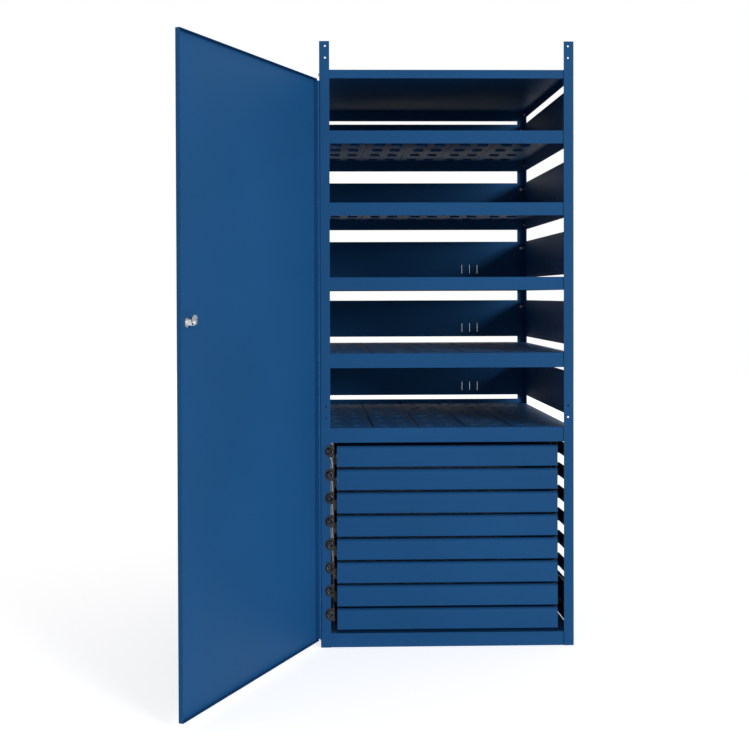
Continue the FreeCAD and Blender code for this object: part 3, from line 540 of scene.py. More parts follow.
def effect_group(name):
    """Node group of an effect, made on its first use."""
    if name in bpy.data.node_groups:
        return bpy.data.node_groups[name]
    build, inputs = EFFECTS[name]
    group = bpy.data.node_groups.new(name, "ShaderNodeTree")
    group.interface.new_socket("Place", in_out="INPUT", socket_type="NodeSocketVector")
    for label, default in inputs.items():
        socket = group.interface.new_socket(label, in_out="INPUT", socket_type="NodeSocketFloat")
        socket.default_value = default
    results = build(group, group.nodes.new("NodeGroupInput").outputs)
    for label in results:
        group.interface.new_socket(label, in_out="OUTPUT", socket_type="NodeSocketFloat")
    feed(group, group.nodes.new("NodeGroupOutput"), results)
    return group


def effect(tree, name, place, amounts=None):
    """Place an effect in a material with its own amounts."""
    item = node(tree, "Group", node_tree=effect_group(name))
    return feed(tree, item, {"Place": place, **(amounts or {})}).outputs


def new_material(name):
    material = bpy.data.materials.new(name)
    material.use_nodes = True
    tree = material.node_tree
    tree.nodes.clear()
    shader = node(tree, "BsdfPrincipled")
    node(tree, "OutputMaterial", {"Surface": shader.outputs["BSDF"]})
    return material, tree, shader, node(tree, "TexCoord").outputs["Object"]


def bump(tree, strength, distance, height):
    levels = {"Strength": strength, "Distance": distance, "Height": height}
    return node(tree, "Bump", levels).outputs["Normal"]


def blue_enamel():
    paint = settings("paint")
    material, tree, shader, place = new_material("blue_enamel")
    peel = effect(tree, "enamel_peel", place, {"Ripple scale": 1 / paint.peel_size})
    edge_lightening = effect(tree, "worn_and_highlit_edges", place, {"Amount": 0.55})
    dust = effect(tree, "settled_dust", place)
    tone = spread(tree, peel["Tone"], 0.3, 0.7)
    base = colour_mix(tree, tone, tint(paint.blue, 0.95), tint(paint.blue, 1.05))
    with_light_edges = colour_mix(tree, edge_lightening["Mask"], base, tint(paint.blue, 2.4, 0.03))
    dull = paint.blue_roughness
    feed(tree, shader, {
        "Base Color": colour_mix(tree, dust["Mask"], with_light_edges, (0.25, 0.27, 0.3, 1)),
        "Roughness": spread(tree, peel["Tone"], 0.3, 0.7, dull - 0.04, dull + 0.05),
        "Normal": bump(tree, 0.5, 0.002, peel["Height"]),
        "Specular IOR Level": paint.blue_gloss,
    })
    return material


def plated_steel(name, colour, roughness, crystals):
    material, tree, shader, place = new_material(name)
    plated = effect(tree, "plating", place, {"Crystal scale": crystals})
    # The light edge colour on the dark plating is partly rubbed zinc and partly a painted highlight, which
    # gives the tabs' rims their bright crescent.
    edge_lightening = effect(tree, "worn_and_highlit_edges", place, {"Amount": 0.8, "Break-up scale": 90})
    dust = effect(tree, "settled_dust", place, {"Amount": 0.1})
    base = colour_mix(tree, plated["Crystals"], tint(colour, 0.82), tint(colour, 1.12))
    with_light_edges = colour_mix(tree, edge_lightening["Mask"], base, (0.5, 0.5, 0.52, 1))
    feed(tree, shader, {
        "Base Color": colour_mix(tree, dust["Mask"], with_light_edges, (0.22, 0.21, 0.2, 1)),
        "Roughness": spread(tree, plated["Lines"], 0.3, 0.7, roughness - 0.07, roughness + 0.09),
        "Normal": bump(tree, 0.15, 0.0003, plated["Lines"]),
        "Metallic": 1.0,
    })
    return material


def lock_chrome():
    material, tree, shader, place = new_material("polished_chrome")
    plated = effect(tree, "plating", place, {"Crystal scale": 300, "Line scale": 1500})
    colour = settings("paint").chrome
    feed(tree, shader, {
        "Base Color": colour_mix(tree, plated["Lines"], tint(colour, 0.92), tint(colour, 1.0)),
        "Roughness": spread(tree, plated["Lines"], 0.3, 0.7, 0.12, 0.24),
        "Metallic": 1.0,
    })
    return material


def finish(slot):
    """The material of a slot, made on its first use."""
    made = bpy.data.materials.get(f"finish_{slot}")
    if made:
        return made
    paint = settings("paint")
    makers = {
        "blue_paint": blue_enamel,
        # The slides and rails take the very dark zinc, which is part plating colour and part painted shade.
        "zinc_plate": lambda: plated_steel("shade_darkened_zinc", paint.shade_darkened_zinc, 0.45, 140),
        "bolt_steel": lambda: plated_steel("bolt_zinc", paint.bolt_zinc, 0.36, 700),
        "lock_chrome": lock_chrome,
    }
    material = makers[slot]()
    material.name = f"finish_{slot}"
    return material


# Pieces

def panel_levels(nodes):
    return [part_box(name)[0].z for name in nodes]


def tray_box(name):
    """Box of a tray without its rear drop or its rear stop."""
    low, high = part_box(name)
    if name == TRAYS[0]:
        low = low + UP * settings("trays").rear_drop
    if name == STOPPED_TRAY:
        high = high - UP * settings("trays").rear_stop
    return low, high


def tray_bolt_levels():
    return [(low.z + high.z) / 2 for low, high in map(tray_box, TRAYS)]


def panel_bolt_levels():
    return [level + settings("panels").bolt_rise for level in panel_levels(BACK_PANELS)]


class CABINET_OT_posts(bpy.types.Operator):
    """Fold the four angle posts and punch their holes"""

    bl_idname = "cabinet.posts"
    bl_label = "Posts"

    def execute(self, context):
        sheet = settings("sheet")
        fittings = settings("fittings")
        for name, (x_way, y_way) in POSTS.items():
            low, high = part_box(name)
            half = sheet.post_wall / 2
            corner = Vector((low.x if x_way > 0 else high.x, low.y if y_way > 0 else high.y, 0))
            inner = corner + Vector((x_way * half, y_way * half, 0))
            width = high.x - low.x
            path = (inner + Vector((x_way * (width - half), 0, 0)), inner,
                    inner + Vector((0, y_way * (width - half), 0)))
            post = fold_sheet(name + "_angle", path, UP * high.z, sheet.post_wall, sheet.post_bend)
            tops = [high.z - fittings.hole_drop, high.z - fittings.hole_drop - fittings.hole_pitch]
            levels = list(tops)
            if y_way > 0:
                levels += [fittings.spare_hole, fittings.spare_hole + fittings.hole_pitch]
            x = corner.x + x_way * fittings.hole_line
            y = corner.y + y_way * fittings.hole_line
            cut(post, *[drill((x, corner.y, level), (0, 1, 0), fittings.post_hole) for level in levels])
            cut(post, *[drill((corner.x, y, level), (1, 0, 0), fittings.post_hole) for level in tops])
            soften(post, sheet.edge_round)
            finish_piece(post, "frame", "blue_paint", name)
        return {"FINISHED"}


def slot_tool(place, margin, depth):
    """Block with a slot's outline, a margin wider all round."""
    press = settings("trays")
    size = (press.slot_length + 2 * margin, press.slot_width + 2 * margin, depth)
    return punch(place, (1, 0, 0), (0, 0, 1), *size)


def make_tray(name, slotted):
    """Pressed tray: a deck with its lips turned down, and stiffening grooves and slots if it is slotted."""
    sheet = settings("sheet")
    press = settings("trays")
    low, high = tray_box(name)
    half = sheet.tray_wall / 2
    low = Vector((low.x + half, low.y + half, low.z))
    high = Vector((high.x - half, high.y - half, high.z - half))
    piece = add(name + "_pressing", "plane", size=1,
                location=((low.x + high.x) / 2, (low.y + high.y) / 2, high.z))
    settle(piece, (high.x - low.x, high.y - low.y, 1))
    left = low.x - half
    first = left + press.groove_start
    grooves = [first + number * press.groove_pitch for number in range(press.groove_count)]
    margin = 12 * MM
    with editing(piece):
        if slotted:
            for x in grooves:
                for sign in (-1, 1):
                    slice_at((x + sign * press.groove_width / 2, 0, 0), (1, 0, 0))
            for y in (low.y + margin, high.y - margin):
                slice_at((0, y, 0), (0, 1, 0))
            pick(piece, "FACE", lambda at, face: any(abs(at.x - x) < MM for x in grooves)
                 and low.y + margin < at.y < high.y - margin)
            bpy.ops.mesh.inset(thickness=1.5 * MM)
            bpy.ops.transform.translate(value=(0, 0, -press.groove_depth))
        pick(piece, "EDGE", lambda at, edge: edge.is_boundary)
        bpy.ops.mesh.extrude_edges_move(TRANSFORM_OT_translate={"value": (0, 0, low.z - high.z)})
        pick(piece, "EDGE", lambda at, edge: close(at.z, high.z) and (
            close(at.x, low.x) or close(at.x, high.x) or close(at.y, low.y) or close(at.y, high.y)))
        bpy.ops.mesh.bevel(offset=sheet.tray_bend - half, segments=4, affect="EDGES")
    modify(piece, "SOLIDIFY", thickness=sheet.tray_wall, offset=0, use_even_offset=True)
    if slotted:
        middle = first - press.groove_pitch / 2
        front = low.y - half + press.slot_row_start
        place = Vector((middle - press.slot_pair / 2, front, high.z))
        cutter = slot_tool(place, 0, 6 * MM)
        collar = slot_tool(place - UP * press.collar_depth / 2, press.collar_wall, press.collar_depth)
        cut(collar, slot_tool(place - UP * press.collar_depth / 2, 0, 2 * press.collar_depth))
        soften(collar, 0.3 * MM, segments=1)
        for tool in (cutter, collar):
            row(tool, 2, (press.slot_pair, 0, 0))
            row(tool, press.groove_count + 1, (press.groove_pitch, 0, 0))
            row(tool, press.slot_rows, (0, press.slot_row_pitch, 0))
        cut(piece, cutter)
    soften(piece, sheet.edge_round)
    return join(piece.name, [piece, collar]) if slotted else piece


class CABINET_OT_trays(bpy.types.Operator):
    """Press the shelves with their lips, grooves and slots"""

    bl_idname = "cabinet.trays"
    bl_label = "Shelves"

    def execute(self, context):
        made = {}
        for name in TRAYS:
            low, high = tray_box(name)
            kind = (round(high.z - low.z, 5), name in SLOTTED_TRAYS)
            if kind in made:
                first, level = made[kind]
                tray = copy_of(first, name + "_pressing", (0, 0, high.z - level))
            else:
                tray = make_tray(name, name in SLOTTED_TRAYS)
                made[kind] = (tray, high.z)
            tray = self.add_strip(tray, name)
            finish_piece(tray, "frame", "blue_paint", name)
        return {"FINISHED"}

    def add_strip(self, tray, name):
        """Deepen the top shelf's rear lip, and stand the stop on the deck above the drawers."""
        sheet = settings("sheet")
        low, high = tray_box(name)
        outer_low, outer_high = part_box(name)
        wall, bend = sheet.tray_wall, sheet.tray_bend
        if outer_low.z < low.z - MM:
            strip = block("rear_lip", (low.x, high.y - wall, outer_low.z), (high.x, high.y, low.z + MM))
        elif outer_high.z > high.z + MM:
            strip = block("rear_stop", (low.x, high.y - bend - wall, high.z - wall / 2),
                          (high.x, high.y - bend, outer_high.z))
        else:
            return tray
        soften(strip, sheet.edge_round)
        return join(tray.name, [tray, strip])


def make_panel(name, length):
    """Hemmed panel along +X from the origin, its outer face on y = 0 and its vents near the lower edge."""
    sheet = settings("sheet")
    panel = settings("panels")
    low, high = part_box(BACK_PANELS[0])
    height = high.z - low.z
    wall = sheet.panel_wall
    face = -wall / 2
    hem = face - wall - 0.05 * MM
    path = ((0, hem, panel.hem), (0, hem, wall / 2), (0, face, wall / 2), (0, face, height - wall / 2),
            (0, hem, height - wall / 2), (0, hem, height - panel.hem))
    piece = fold_sheet(name, path, (length, 0, 0), wall, 0.5 * MM)
    margin = 3 * MM
    reach = panel.vent_width / 2 + margin
    with editing(piece):
        for number in range(panel.vents):
            for side in (-reach, reach):
                slice_at((panel.vent_start + number * panel.vent_pitch + side, 0, 0), (1, 0, 0))
        for level in (panel.vent_bottom - margin, panel.vent_bottom + panel.vent_length + margin):
            slice_at((0, 0, level), (0, 0, 1))
    z = panel.vent_bottom + panel.vent_length / 2
    size = (panel.vent_length, panel.vent_width)
    pressed = punch((panel.vent_start, -wall, z), (0, 0, 1), (0, 1, 0), *size, 2 * panel.vent_depth)
    row(pressed, panel.vents, (panel.vent_pitch, 0, 0))
    first_slit = panel.vent_start + (panel.vents - panel.slit_vents) * panel.vent_pitch
    slit = punch((first_slit, 0, z), (0, 0, 1), (0, 1, 0), panel.vent_length - panel.vent_width,
                 panel.slit_width, 9 * MM)
    row(slit, panel.slit_vents, (panel.vent_pitch, 0, 0))
    cut(piece, pressed, slit)
    soften(piece, 0.2 * MM)
    return piece


class CABINET_OT_panels(bpy.types.Operator):
    """Fold the back and side panels and press their vents"""

    bl_idname = "cabinet.panels"
    bl_label = "Panels"

    def execute(self, context):
        low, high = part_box(BACK_PANELS[0])
        pattern = make_panel("back_pattern", high.x - low.x)
        for name in BACK_PANELS:
            start = Vector((low.x, high.y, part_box(name)[0].z))
            panel = copy_of(pattern, name + "_sheet", start)
            finish_piece(panel, "frame", "blue_paint", name)
        bpy.data.objects.remove(pattern)
        for name, turn in (("left_side_panels", 90), ("right_side_panels", -90)):
            low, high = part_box(name)
            pattern = make_panel("side_pattern", high.y - low.y)
            x, y = (low.x, low.y) if turn > 0 else (high.x, high.y)
            copies = []
            for level in panel_levels(BACK_PANELS):
                place = Matrix.Translation((x, y, level)) @ Matrix.Rotation(math.radians(turn), 4, "Z")
                copies.append(copy_of(pattern, "side_sheet", matrix=place))
            bpy.data.objects.remove(pattern)
            finish_piece(join(name + "_sheets", copies), "frame", "blue_paint", name)
        return {"FINISHED"}


def make_bolt():
    """Pan head with a hexagon socket, its axis along +X from the origin."""
    fittings = settings("fittings")
    radius, height = fittings.bolt_head, fittings.bolt_height
    head = rod("bolt_pattern", 18, radius, 0, height)
    with editing(head):
        pick(head, "FACE", lambda at, face: close(at.z, height) and len(face.verts) > 4)
        bpy.ops.mesh.inset(thickness=radius * 0.22)
        pick(head, "EDGE", lambda at, edge: close(at.z, height) and at.xy.length > radius * 0.9)
        bpy.ops.mesh.bevel(offset=height * 0.45, segments=2, affect="EDGES")
    cut(head, rod("socket", 6, radius * 0.5, height / 2, height * 3 / 2))
    shade(head, 40)
    return move(head, Matrix.Rotation(math.radians(90), 4, "Y"))


def make_nut():
    """Hexagon nut with the bolt's end in it, along -X from the origin."""
    fittings = settings("fittings")
    radius, height = fittings.nut_radius, fittings.nut_height
    end = height + fittings.tail
    nut = rod("nut_pattern", 6, radius, 0, height)
    with editing(nut):
        pick(nut, "VERT", lambda at, corner: close(at.z, height))
        bpy.ops.mesh.bevel(offset=radius * 0.14, segments=1, affect="VERTICES")
    nut = join("nut_pattern", [nut, rod("tail", 12, fittings.shank, 0, end)])
    soften(nut, 0.25 * MM, segments=1)
    return move(nut, Matrix.Rotation(math.radians(-90), 4, "Y"))


class CABINET_OT_fasteners(bpy.types.Operator):
    """Set the bolts and nuts that hold the shelves and panels to the posts"""

    bl_idname = "cabinet.fasteners"
    bl_label = "Bolts and nuts"

    def execute(self, context):
        fittings = settings("fittings")
        sheet = settings("sheet")
        bolt = make_bolt()
        nut = make_nut()
        x_line = HALF_WIDTH - fittings.hole_line
        y_line = HALF_DEPTH - fittings.hole_line
        for kind, side_levels, back_levels, wall in (
                ("shelf", tray_bolt_levels(), (), sheet.tray_wall),
                ("panel", panel_bolt_levels(), panel_bolt_levels(), sheet.panel_wall + 0.05 * MM)):
            heads = []
            nuts = []
            depth = sheet.post_wall + wall
            places = [(Vector((x_sign * HALF_WIDTH, y_sign * y_line, level)), 0 if x_sign > 0 else 180)
                      for x_sign in (1, -1) for y_sign in (1, -1) for level in side_levels]
            places += [(Vector((x_sign * x_line, HALF_DEPTH, level)), 90)
                       for x_sign in (1, -1) for level in back_levels]
            for place, turn in places:
                spin = Matrix.Rotation(math.radians(turn), 4, "Z")
                inside = spin @ Vector((-depth, 0, 0))
                heads.append(copy_of(bolt, "head", matrix=Matrix.Translation(place) @ spin))
                nuts.append(copy_of(nut, "nut", matrix=Matrix.Translation(place + inside) @ spin))
            finish_piece(join(f"{kind}_bolt_heads", heads), "frame", "bolt_steel", f"{kind}_bolts")
            finish_piece(join(f"{kind}_hexagon_nuts", nuts), "frame", "bolt_steel", f"{kind}_nuts")
        bpy.data.objects.remove(bolt)
        bpy.data.objects.remove(nut)
        return {"FINISHED"}


def hinge_matrix():
    """From the door's own frame, closed, to its place at rest."""
    pivot = Vector(DOOR_JOINT["pos_m"])
    pivot.z = 0
    return Matrix.Translation(pivot) @ Matrix.Rotation(math.radians(DOOR_JOINT["range_deg"][0]), 4, "Z")


def door_face():
    """Depth of the closed door's outer face before the hinge axis."""
    door = settings("door")
    return -(door.gap / 2 + door.flange)


class CABINET_OT_door(bpy.types.Operator):
    """Fold the door from one sheet, with its lock hole"""

    bl_idname = "cabinet.door"
    bl_label = "Door"

    def execute(self, context):
        sizes = settings("door")
        wall = sizes.wall
        half = wall / 2
        bottom, top = (corner.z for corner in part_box("door_panel"))
        low = Vector((sizes.knuckle, door_face(), bottom))
        high = Vector((sizes.knuckle + sizes.width, -sizes.gap / 2, top))
        middle = (low + high) / 2
        door = add("door_pan", "plane", size=1, location=(middle.x, low.y + half, middle.z),
                   rotation=(math.radians(90), 0, 0))
        settle(door, (high.x - low.x - wall, high.z - low.z - wall, 1))
        with editing(door):
            pick(door, "EDGE", lambda at, edge: edge.is_boundary)
            bpy.ops.mesh.extrude_edges_move(TRANSFORM_OT_translate={"value": (0, high.y - low.y - half, 0)})
            pick(door, "EDGE", lambda at, edge: close(at.y, low.y + half))
            bpy.ops.mesh.bevel(offset=sizes.bend, segments=4, affect="EDGES")
        modify(door, "SOLIDIFY", thickness=wall, offset=0, use_even_offset=True)
        lock = settings("lock")
        lock_x, lock_z = lock_place()
        cut(door, drill((lock_x, low.y, lock_z), (0, 1, 0), lock.radius + lock.play, corners=32))
        soften(door, 0.3 * MM)
        move(door, hinge_matrix())
        finish_piece(door, "door", "blue_paint", "door_panel")
        return {"FINISHED"}


class CABINET_OT_hinge(bpy.types.Operator):
    """Roll the knuckles of the two hinge leaves"""

    bl_idname = "cabinet.hinge"
    bl_label = "Hinge"

    def execute(self, context):
        door = settings("door")
        low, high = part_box("hinge_pin")
        pivot = Vector(DOOR_JOINT["pos_m"])
        length = (high.z - low.z) / door.knuckles
        radius = door.knuckle
        for node_name, body, first, side in (
                ("hinge_post_leaf", "frame", 0, 1), ("hinge_door_leaf", "door", 1, -1)):
            foot = low.z + first * length + door.knuckle_play / 2
            knuckle = rod("knuckle", 20, radius, foot, foot + length - door.knuckle_play)
            soften(knuckle, 0.4 * MM)
            row(knuckle, door.knuckles // 2, (0, 0, 2 * length))
            leaf = block("leaf", (radius - door.wall, min(0, side * door.leaf), low.z),
                         (radius, max(0, side * door.leaf), high.z))
            soften(leaf, 0.3 * MM)
            piece = join(node_name + "_rolled", [knuckle, leaf])
            place = Matrix.Translation((pivot.x, pivot.y, 0)) if side > 0 else hinge_matrix()
            move(piece, place)
            finish_piece(piece, body, "blue_paint", node_name)
        dress_node("hinge_pin", "bolt_steel")
        return {"FINISHED"}


def lock_place():
    """Place of the lock's axis in the door's own frame."""
    joint = next(item for item in frame["joints"] if item["name"] == "lock_turn")
    at = hinge_matrix().inverted() @ Vector(joint["pos_m"])
    return at.x, at.z


class CABINET_OT_lock(bpy.types.Operator):
    """Turn the lock's barrel, its nut, the cam and its screw"""

    bl_idname = "cabinet.lock"
    bl_label = "Lock"

    def execute(self, context):
        x, z = lock_place()
        place = hinge_matrix() @ Matrix.Translation((x, 0, z)) @ Matrix.Rotation(math.radians(-90), 4, "X")
        lock = settings("lock")
        face = door_face()
        inside = face + settings("door").wall
        end = inside + lock.length
        for name, body, piece in (
                ("lock_barrel", "door", self.barrel(lock, face, inside + lock.nut_height, end)),
                ("lock_nut", "door", self.nut(lock, inside)),
                ("lock_cam", "lock", self.cam(lock, end)),
                ("cam_screw", "lock", self.screw(lock, end + lock.cam_wall))):
            piece.name = name + "_turned"
            finish_piece(move(piece, place), body, "lock_chrome", name)
        return {"FINISHED"}

    def barrel(self, lock, face, thread_start, end):
        """Threaded barrel with the rim and the keyway of its face."""
        barrel = rod("barrel", 40, lock.radius, face, end)
        half_pitch = lock.thread_pitch / 2
        turns = int((end - thread_start) / half_pitch)
        levels = [thread_start + (number + 0.5) * half_pitch for number in range(turns)]
        with editing(barrel):
            for level in levels:
                slice_at((0, 0, level), (0, 0, 1))
            pick(barrel, "VERT", lambda at, corner: any(close(at.z, level) for level in levels[::2]))
            bpy.ops.transform.resize(value=(0.93, 0.93, 1), center_override=(0, 0, 0))
        soften(barrel, 0.4 * MM, angle=60)
        rim = rod("rim", 40, lock.rim_radius, face - lock.rim_height, face)
        cut(rim, punch((0, 0, face - lock.rim_height), (0, 1, 0), (0, 0, 1), lock.keyway_length,
                       lock.keyway_width, 2 * lock.keyway_depth))
        soften(rim, 0.5 * MM)
        return join("lock_barrel", [barrel, rim])

    def nut(self, lock, inside):
        nut = rod("lock_nut", 6, lock.nut_radius, inside, inside + lock.nut_height)
        cut(nut, drill((0, 0, inside), (0, 0, 1), lock.radius + lock.play / 2, 20 * MM, corners=40))
        soften(nut, 0.5 * MM)
        return nut

    def cam(self, lock, end):
        """Round plate off the lock's axis, with a notch in its side."""
        cam = settle(add("lock_cam", "cylinder", vertices=48, radius=lock.cam_radius, depth=lock.cam_wall,
                         location=(0, -lock.cam_offset, end + lock.cam_wall / 2)))
        cut(cam, drill((-lock.cam_radius, -lock.cam_offset, end), (0, 0, 1), lock.cam_notch, 20 * MM))
        soften(cam, 0.6 * MM, segments=3)
        return cam

    def screw(self, lock, foot):
        """Domed head with a cross recess."""
        radius, top = lock.screw_radius, foot + lock.screw_height
        screw = rod("cam_screw", 28, radius, foot, top)
        with editing(screw):
            pick(screw, "FACE", lambda at, side: close(at.z, top) and len(side.verts) > 4)
            bpy.ops.mesh.bevel(offset=0.24 * radius, segments=3, affect="EDGES")
        arm, bar, deep = 0.6 * radius, 0.1 * radius, 0.5 * lock.screw_height
        cut(screw, block("cross", (-arm, -bar, top - deep), (arm, bar, top + deep)),
            block("cross", (-bar, -arm, top - deep), (bar, arm, top + deep)))
        shade(screw)
        return screw


def make_drawer(name):
    """Drawer with a rolled front and a folded tray behind it."""
    low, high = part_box(name)
    sizes = settings("drawers")
    wall = sizes.wall
    front_high = Vector((high.x, low.y + sizes.front_depth, high.z))
    front = block("front", low, front_high)
    with editing(front):
        pick(front, "EDGE", lambda at, edge: close(at.y, low.y) and close(at.z, high.z))
        bpy.ops.mesh.bevel(offset=sizes.roll, segments=10, affect="EDGES")
        pick(front, "EDGE", lambda at, edge: close(at.y, low.y) and close(at.z, low.z))
        bpy.ops.mesh.bevel(offset=sizes.foot, segments=5, affect="EDGES")
        pick(front, "FACE", lambda at, side: close(at.y, front_high.y))
        bpy.ops.mesh.delete(type="FACE")
    modify(front, "SOLIDIFY", thickness=wall, offset=-1, use_even_offset=True)
    soften(front, 0.6 * MM, angle=50)

    box_low = Vector((-sizes.box_width / 2, low.y + sizes.roll, low.z + wall))
    box_high = Vector((sizes.box_width / 2, high.y, box_low.z + sizes.box_height))
    half = wall / 2
    tray = add("tray", "plane", size=1, location=(0, (box_low.y + box_high.y) / 2, box_low.z + half))
    settle(tray, (box_high.x - box_low.x - wall, box_high.y - box_low.y - wall, 1))
    with editing(tray):
        pick(tray, "EDGE", lambda at, edge: edge.is_boundary)
        rise = box_high.z - box_low.z - half
        bpy.ops.mesh.extrude_edges_move(TRANSFORM_OT_translate={"value": (0, 0, rise)})
        pick(tray, "EDGE", lambda at, edge: close(at.z, box_low.z + half) or (
            not edge.is_boundary and abs(edge.verts[0].co.z - edge.verts[1].co.z) > 0.01))
        bpy.ops.mesh.bevel(offset=sizes.box_bend, segments=3, affect="EDGES")
    modify(tray, "SOLIDIFY", thickness=wall, offset=0, use_even_offset=True)
    soften(tray, 0.25 * MM)
    return join(name + "_folded", [front, tray])


class CABINET_OT_drawers(bpy.types.Operator):
    """Fold the drawers with their rolled fronts"""

    bl_idname = "cabinet.drawers"
    bl_label = "Drawers"

    def execute(self, context):
        first = make_drawer(DRAWERS[0])
        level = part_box(DRAWERS[0])[0].z
        for name in DRAWERS[1:]:
            drawer = copy_of(first, name + "_folded", (0, 0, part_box(name)[0].z - level))
            finish_piece(drawer, name, "blue_paint", name)
        finish_piece(first, DRAWERS[0], "blue_paint", DRAWERS[0])
        return {"FINISHED"}


def drawer_pitch():
    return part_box(DRAWERS[0])[0].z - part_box(DRAWERS[1])[0].z


def slide_edge():
    """Distance of the slides' outer faces from the middle of the cabinet."""
    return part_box("right_cabinet_slides")[1].x


def top_slide_foot():
    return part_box("right_cabinet_slides")[1].z - settings("runners").height


def channel(name, sign, web, tips, inset):
    """C section on its side along a slide, from its web's face to its flanges' tips."""
    runners = settings("runners")
    low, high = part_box("drawer_slides_1")
    half = runners.wall / 2
    middle = sign * (web - half if web > tips else web + half)
    bottom = top_slide_foot() + inset + half
    top = top_slide_foot() + runners.height - inset - half
    path = [(x, low.y, z) for x, z in (
        (sign * tips, bottom), (middle, bottom), (middle, top), (sign * tips, top))]
    piece = fold_sheet(name, path, (0, high.y - low.y, 0), runners.wall, 1.3 * MM)
    soften(piece, 0.25 * MM)
    return piece


class CABINET_OT_slides(bpy.types.Operator):
    """Roll the three members of every drawer slide"""

    bl_idname = "cabinet.slides"
    bl_label = "Slides"

    def execute(self, context):
        runners = settings("runners")
        inner = settings("drawers").box_width / 2
        outer = slide_edge()
        step = runners.wall + runners.play
        for kind, web, tips, inset in (("middle_slides", outer - step, inner + step, step),
                                       ("drawer_slides", inner, outer - 2 * step, 2 * step)):
            pair = [channel("member", sign, web, tips, inset) for sign in (-1, 1)]
            if kind == "drawer_slides":
                self.drill_screw_holes(pair, inner)
            pattern = join("members", pair)
            for number, name in enumerate(DRAWERS, start=1):
                piece = copy_of(pattern, f"{kind}_{number}_rolled", (0, 0, -(number - 1) * drawer_pitch()))
                body = name if kind == "drawer_slides" else f"middle_slides_{number}"
                finish_piece(piece, body, "zinc_plate", f"{kind}_{number}")
            bpy.data.objects.remove(pattern)
        for side, sign in (("left", -1), ("right", 1)):
            piece = channel(f"{side}_cabinet_slides_rolled", sign, outer, inner + step, 0)
            row(piece, len(DRAWERS), (0, 0, -drawer_pitch()))
            finish_piece(piece, "frame", "zinc_plate", f"{side}_cabinet_slides")
        return {"FINISHED"}

    def drill_screw_holes(self, pair, x):
        """Holes for the screws that hold a drawer's members, at both ends and the middle."""
        low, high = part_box("drawer_slides_1")
        z = top_slide_foot() + settings("runners").height / 2
        for sign, piece in zip((-1, 1), pair):
            cut(piece, *[drill((sign * x, low.y + share * (high.y - low.y), z), (1, 0, 0), 3 * MM, corners=16)
                         for share in (0.05, 0.5, 0.95)])


class CABINET_OT_rails(bpy.types.Operator):
    """Bend the rails that carry the slides, with the dished tabs on the left"""

    bl_idname = "cabinet.rails"
    bl_label = "Rails"

    def execute(self, context):
        runners = settings("runners")
        wall = runners.rail_wall
        half = wall / 2
        inner = slide_edge()
        bottom = top_slide_foot()
        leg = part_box("right_slide_rails")[1].x - half
        rear_step = HALF_DEPTH - runners.rear_leg - half
        for side, sign in (("right", 1), ("left", -1)):
            low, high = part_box(f"{side}_slide_rails")
            path = [(sign * leg, high.y, bottom), (sign * leg, rear_step, bottom),
                    (sign * (inner + half), rear_step, bottom)]
            if sign > 0:
                front = runners.rail_setback - HALF_DEPTH + half
                path += [(inner + half, front, bottom), (leg, front, bottom), (leg, low.y, bottom)]
            else:
                path += [(-inner - half, -HALF_DEPTH - wall, bottom)]
            rail = fold_sheet(f"{side}_slide_rails_bent", path, UP * runners.height, wall, 1.6 * MM)
            soften(rail, 0.3 * MM)
            if sign < 0:
                rail = join(rail.name, [rail] + self.tab(inner, bottom + runners.height / 2))
            row(rail, len(DRAWERS), (0, 0, -drawer_pitch()))
            finish_piece(rail, "frame", "zinc_plate", f"{side}_slide_rails")
        dress_node("rear_packing_strips", "blue_paint")
        return {"FINISHED"}

    def tab(self, inner, z):
        """Round tab over the post's face, with a tapered boss and a dish in it."""
        runners = settings("runners")
        wall, radius = runners.rail_wall, runners.boss_radius
        centre = -(inner + runners.hook_reach)
        upright = (math.radians(90), 0, 0)
        tab = settle(add("tab", "cylinder", vertices=48, radius=runners.hook_radius, depth=wall,
                         location=(centre, -HALF_DEPTH - wall / 2, z), rotation=upright))
        with editing(tab):
            pick(tab, "VERT", lambda at, corner: at.x > centre + 0.1 * MM)
            bpy.ops.transform.resize(value=(0, 1, 1), center_override=(-inner, 0, 0))
            bpy.ops.mesh.select_all(action="SELECT")
            bpy.ops.mesh.remove_doubles(threshold=0.00001)
        soften(tab, 0.5 * MM)
        height = runners.boss_height
        face = radius - height * math.tan(runners.boss_slope)
        foot = -HALF_DEPTH - wall
        boss = settle(add("boss", "cone", vertices=40, radius1=radius, radius2=face, depth=height,
                          location=(-(inner + runners.boss_reach), foot - height / 2, z), rotation=upright))
        with editing(boss):
            pick(boss, "FACE", lambda at, side: close(at.y, foot - height) and len(side.verts) > 4)
            bpy.ops.mesh.inset(thickness=0.1 * face)
            for inset, depth in ((0.15, 0.45), (0.2, 0.3), (0.25, 0.15)):
                bpy.ops.mesh.inset(thickness=inset * face)
                bpy.ops.transform.translate(value=(0, depth * height, 0))
        soften(boss, 0.5 * MM, segments=3, angle=25)
        return [tab, boss]


# Stage

def floor_material():
    """Pale floor that keeps the shadow, and looks white to the camera and in reflections."""
    material, tree, shader, place = new_material("pale_floor")
    colour = settings("stage").floor
    base = colour_mix(tree, noise(tree, place, 2.0, 3.0), tint(colour, 0.99), tint(colour, 1.01))
    feed(tree, shader, {"Base Color": base, "Roughness": 0.9, "Specular IOR Level": 0.1})
    ray = node(tree, "LightPath").outputs
    seen = reckon(tree, "MAXIMUM", ray["Is Camera Ray"], ray["Is Glossy Ray"])
    glow = node(tree, "Emission", {"Strength": settings("stage").floor_glow})
    dark = node(tree, "Emission", {"Strength": 0.0})
    shine = node(tree, "MixShader", {0: seen, 1: dark.outputs[0], 2: glow.outputs[0]})
    both = node(tree, "AddShader", {0: shader.outputs[0], 1: shine.outputs[0]})
    out = next(item for item in tree.nodes if item.type == "OUTPUT_MATERIAL")
    tree.links.new(both.outputs[0], out.inputs["Surface"])
    return material


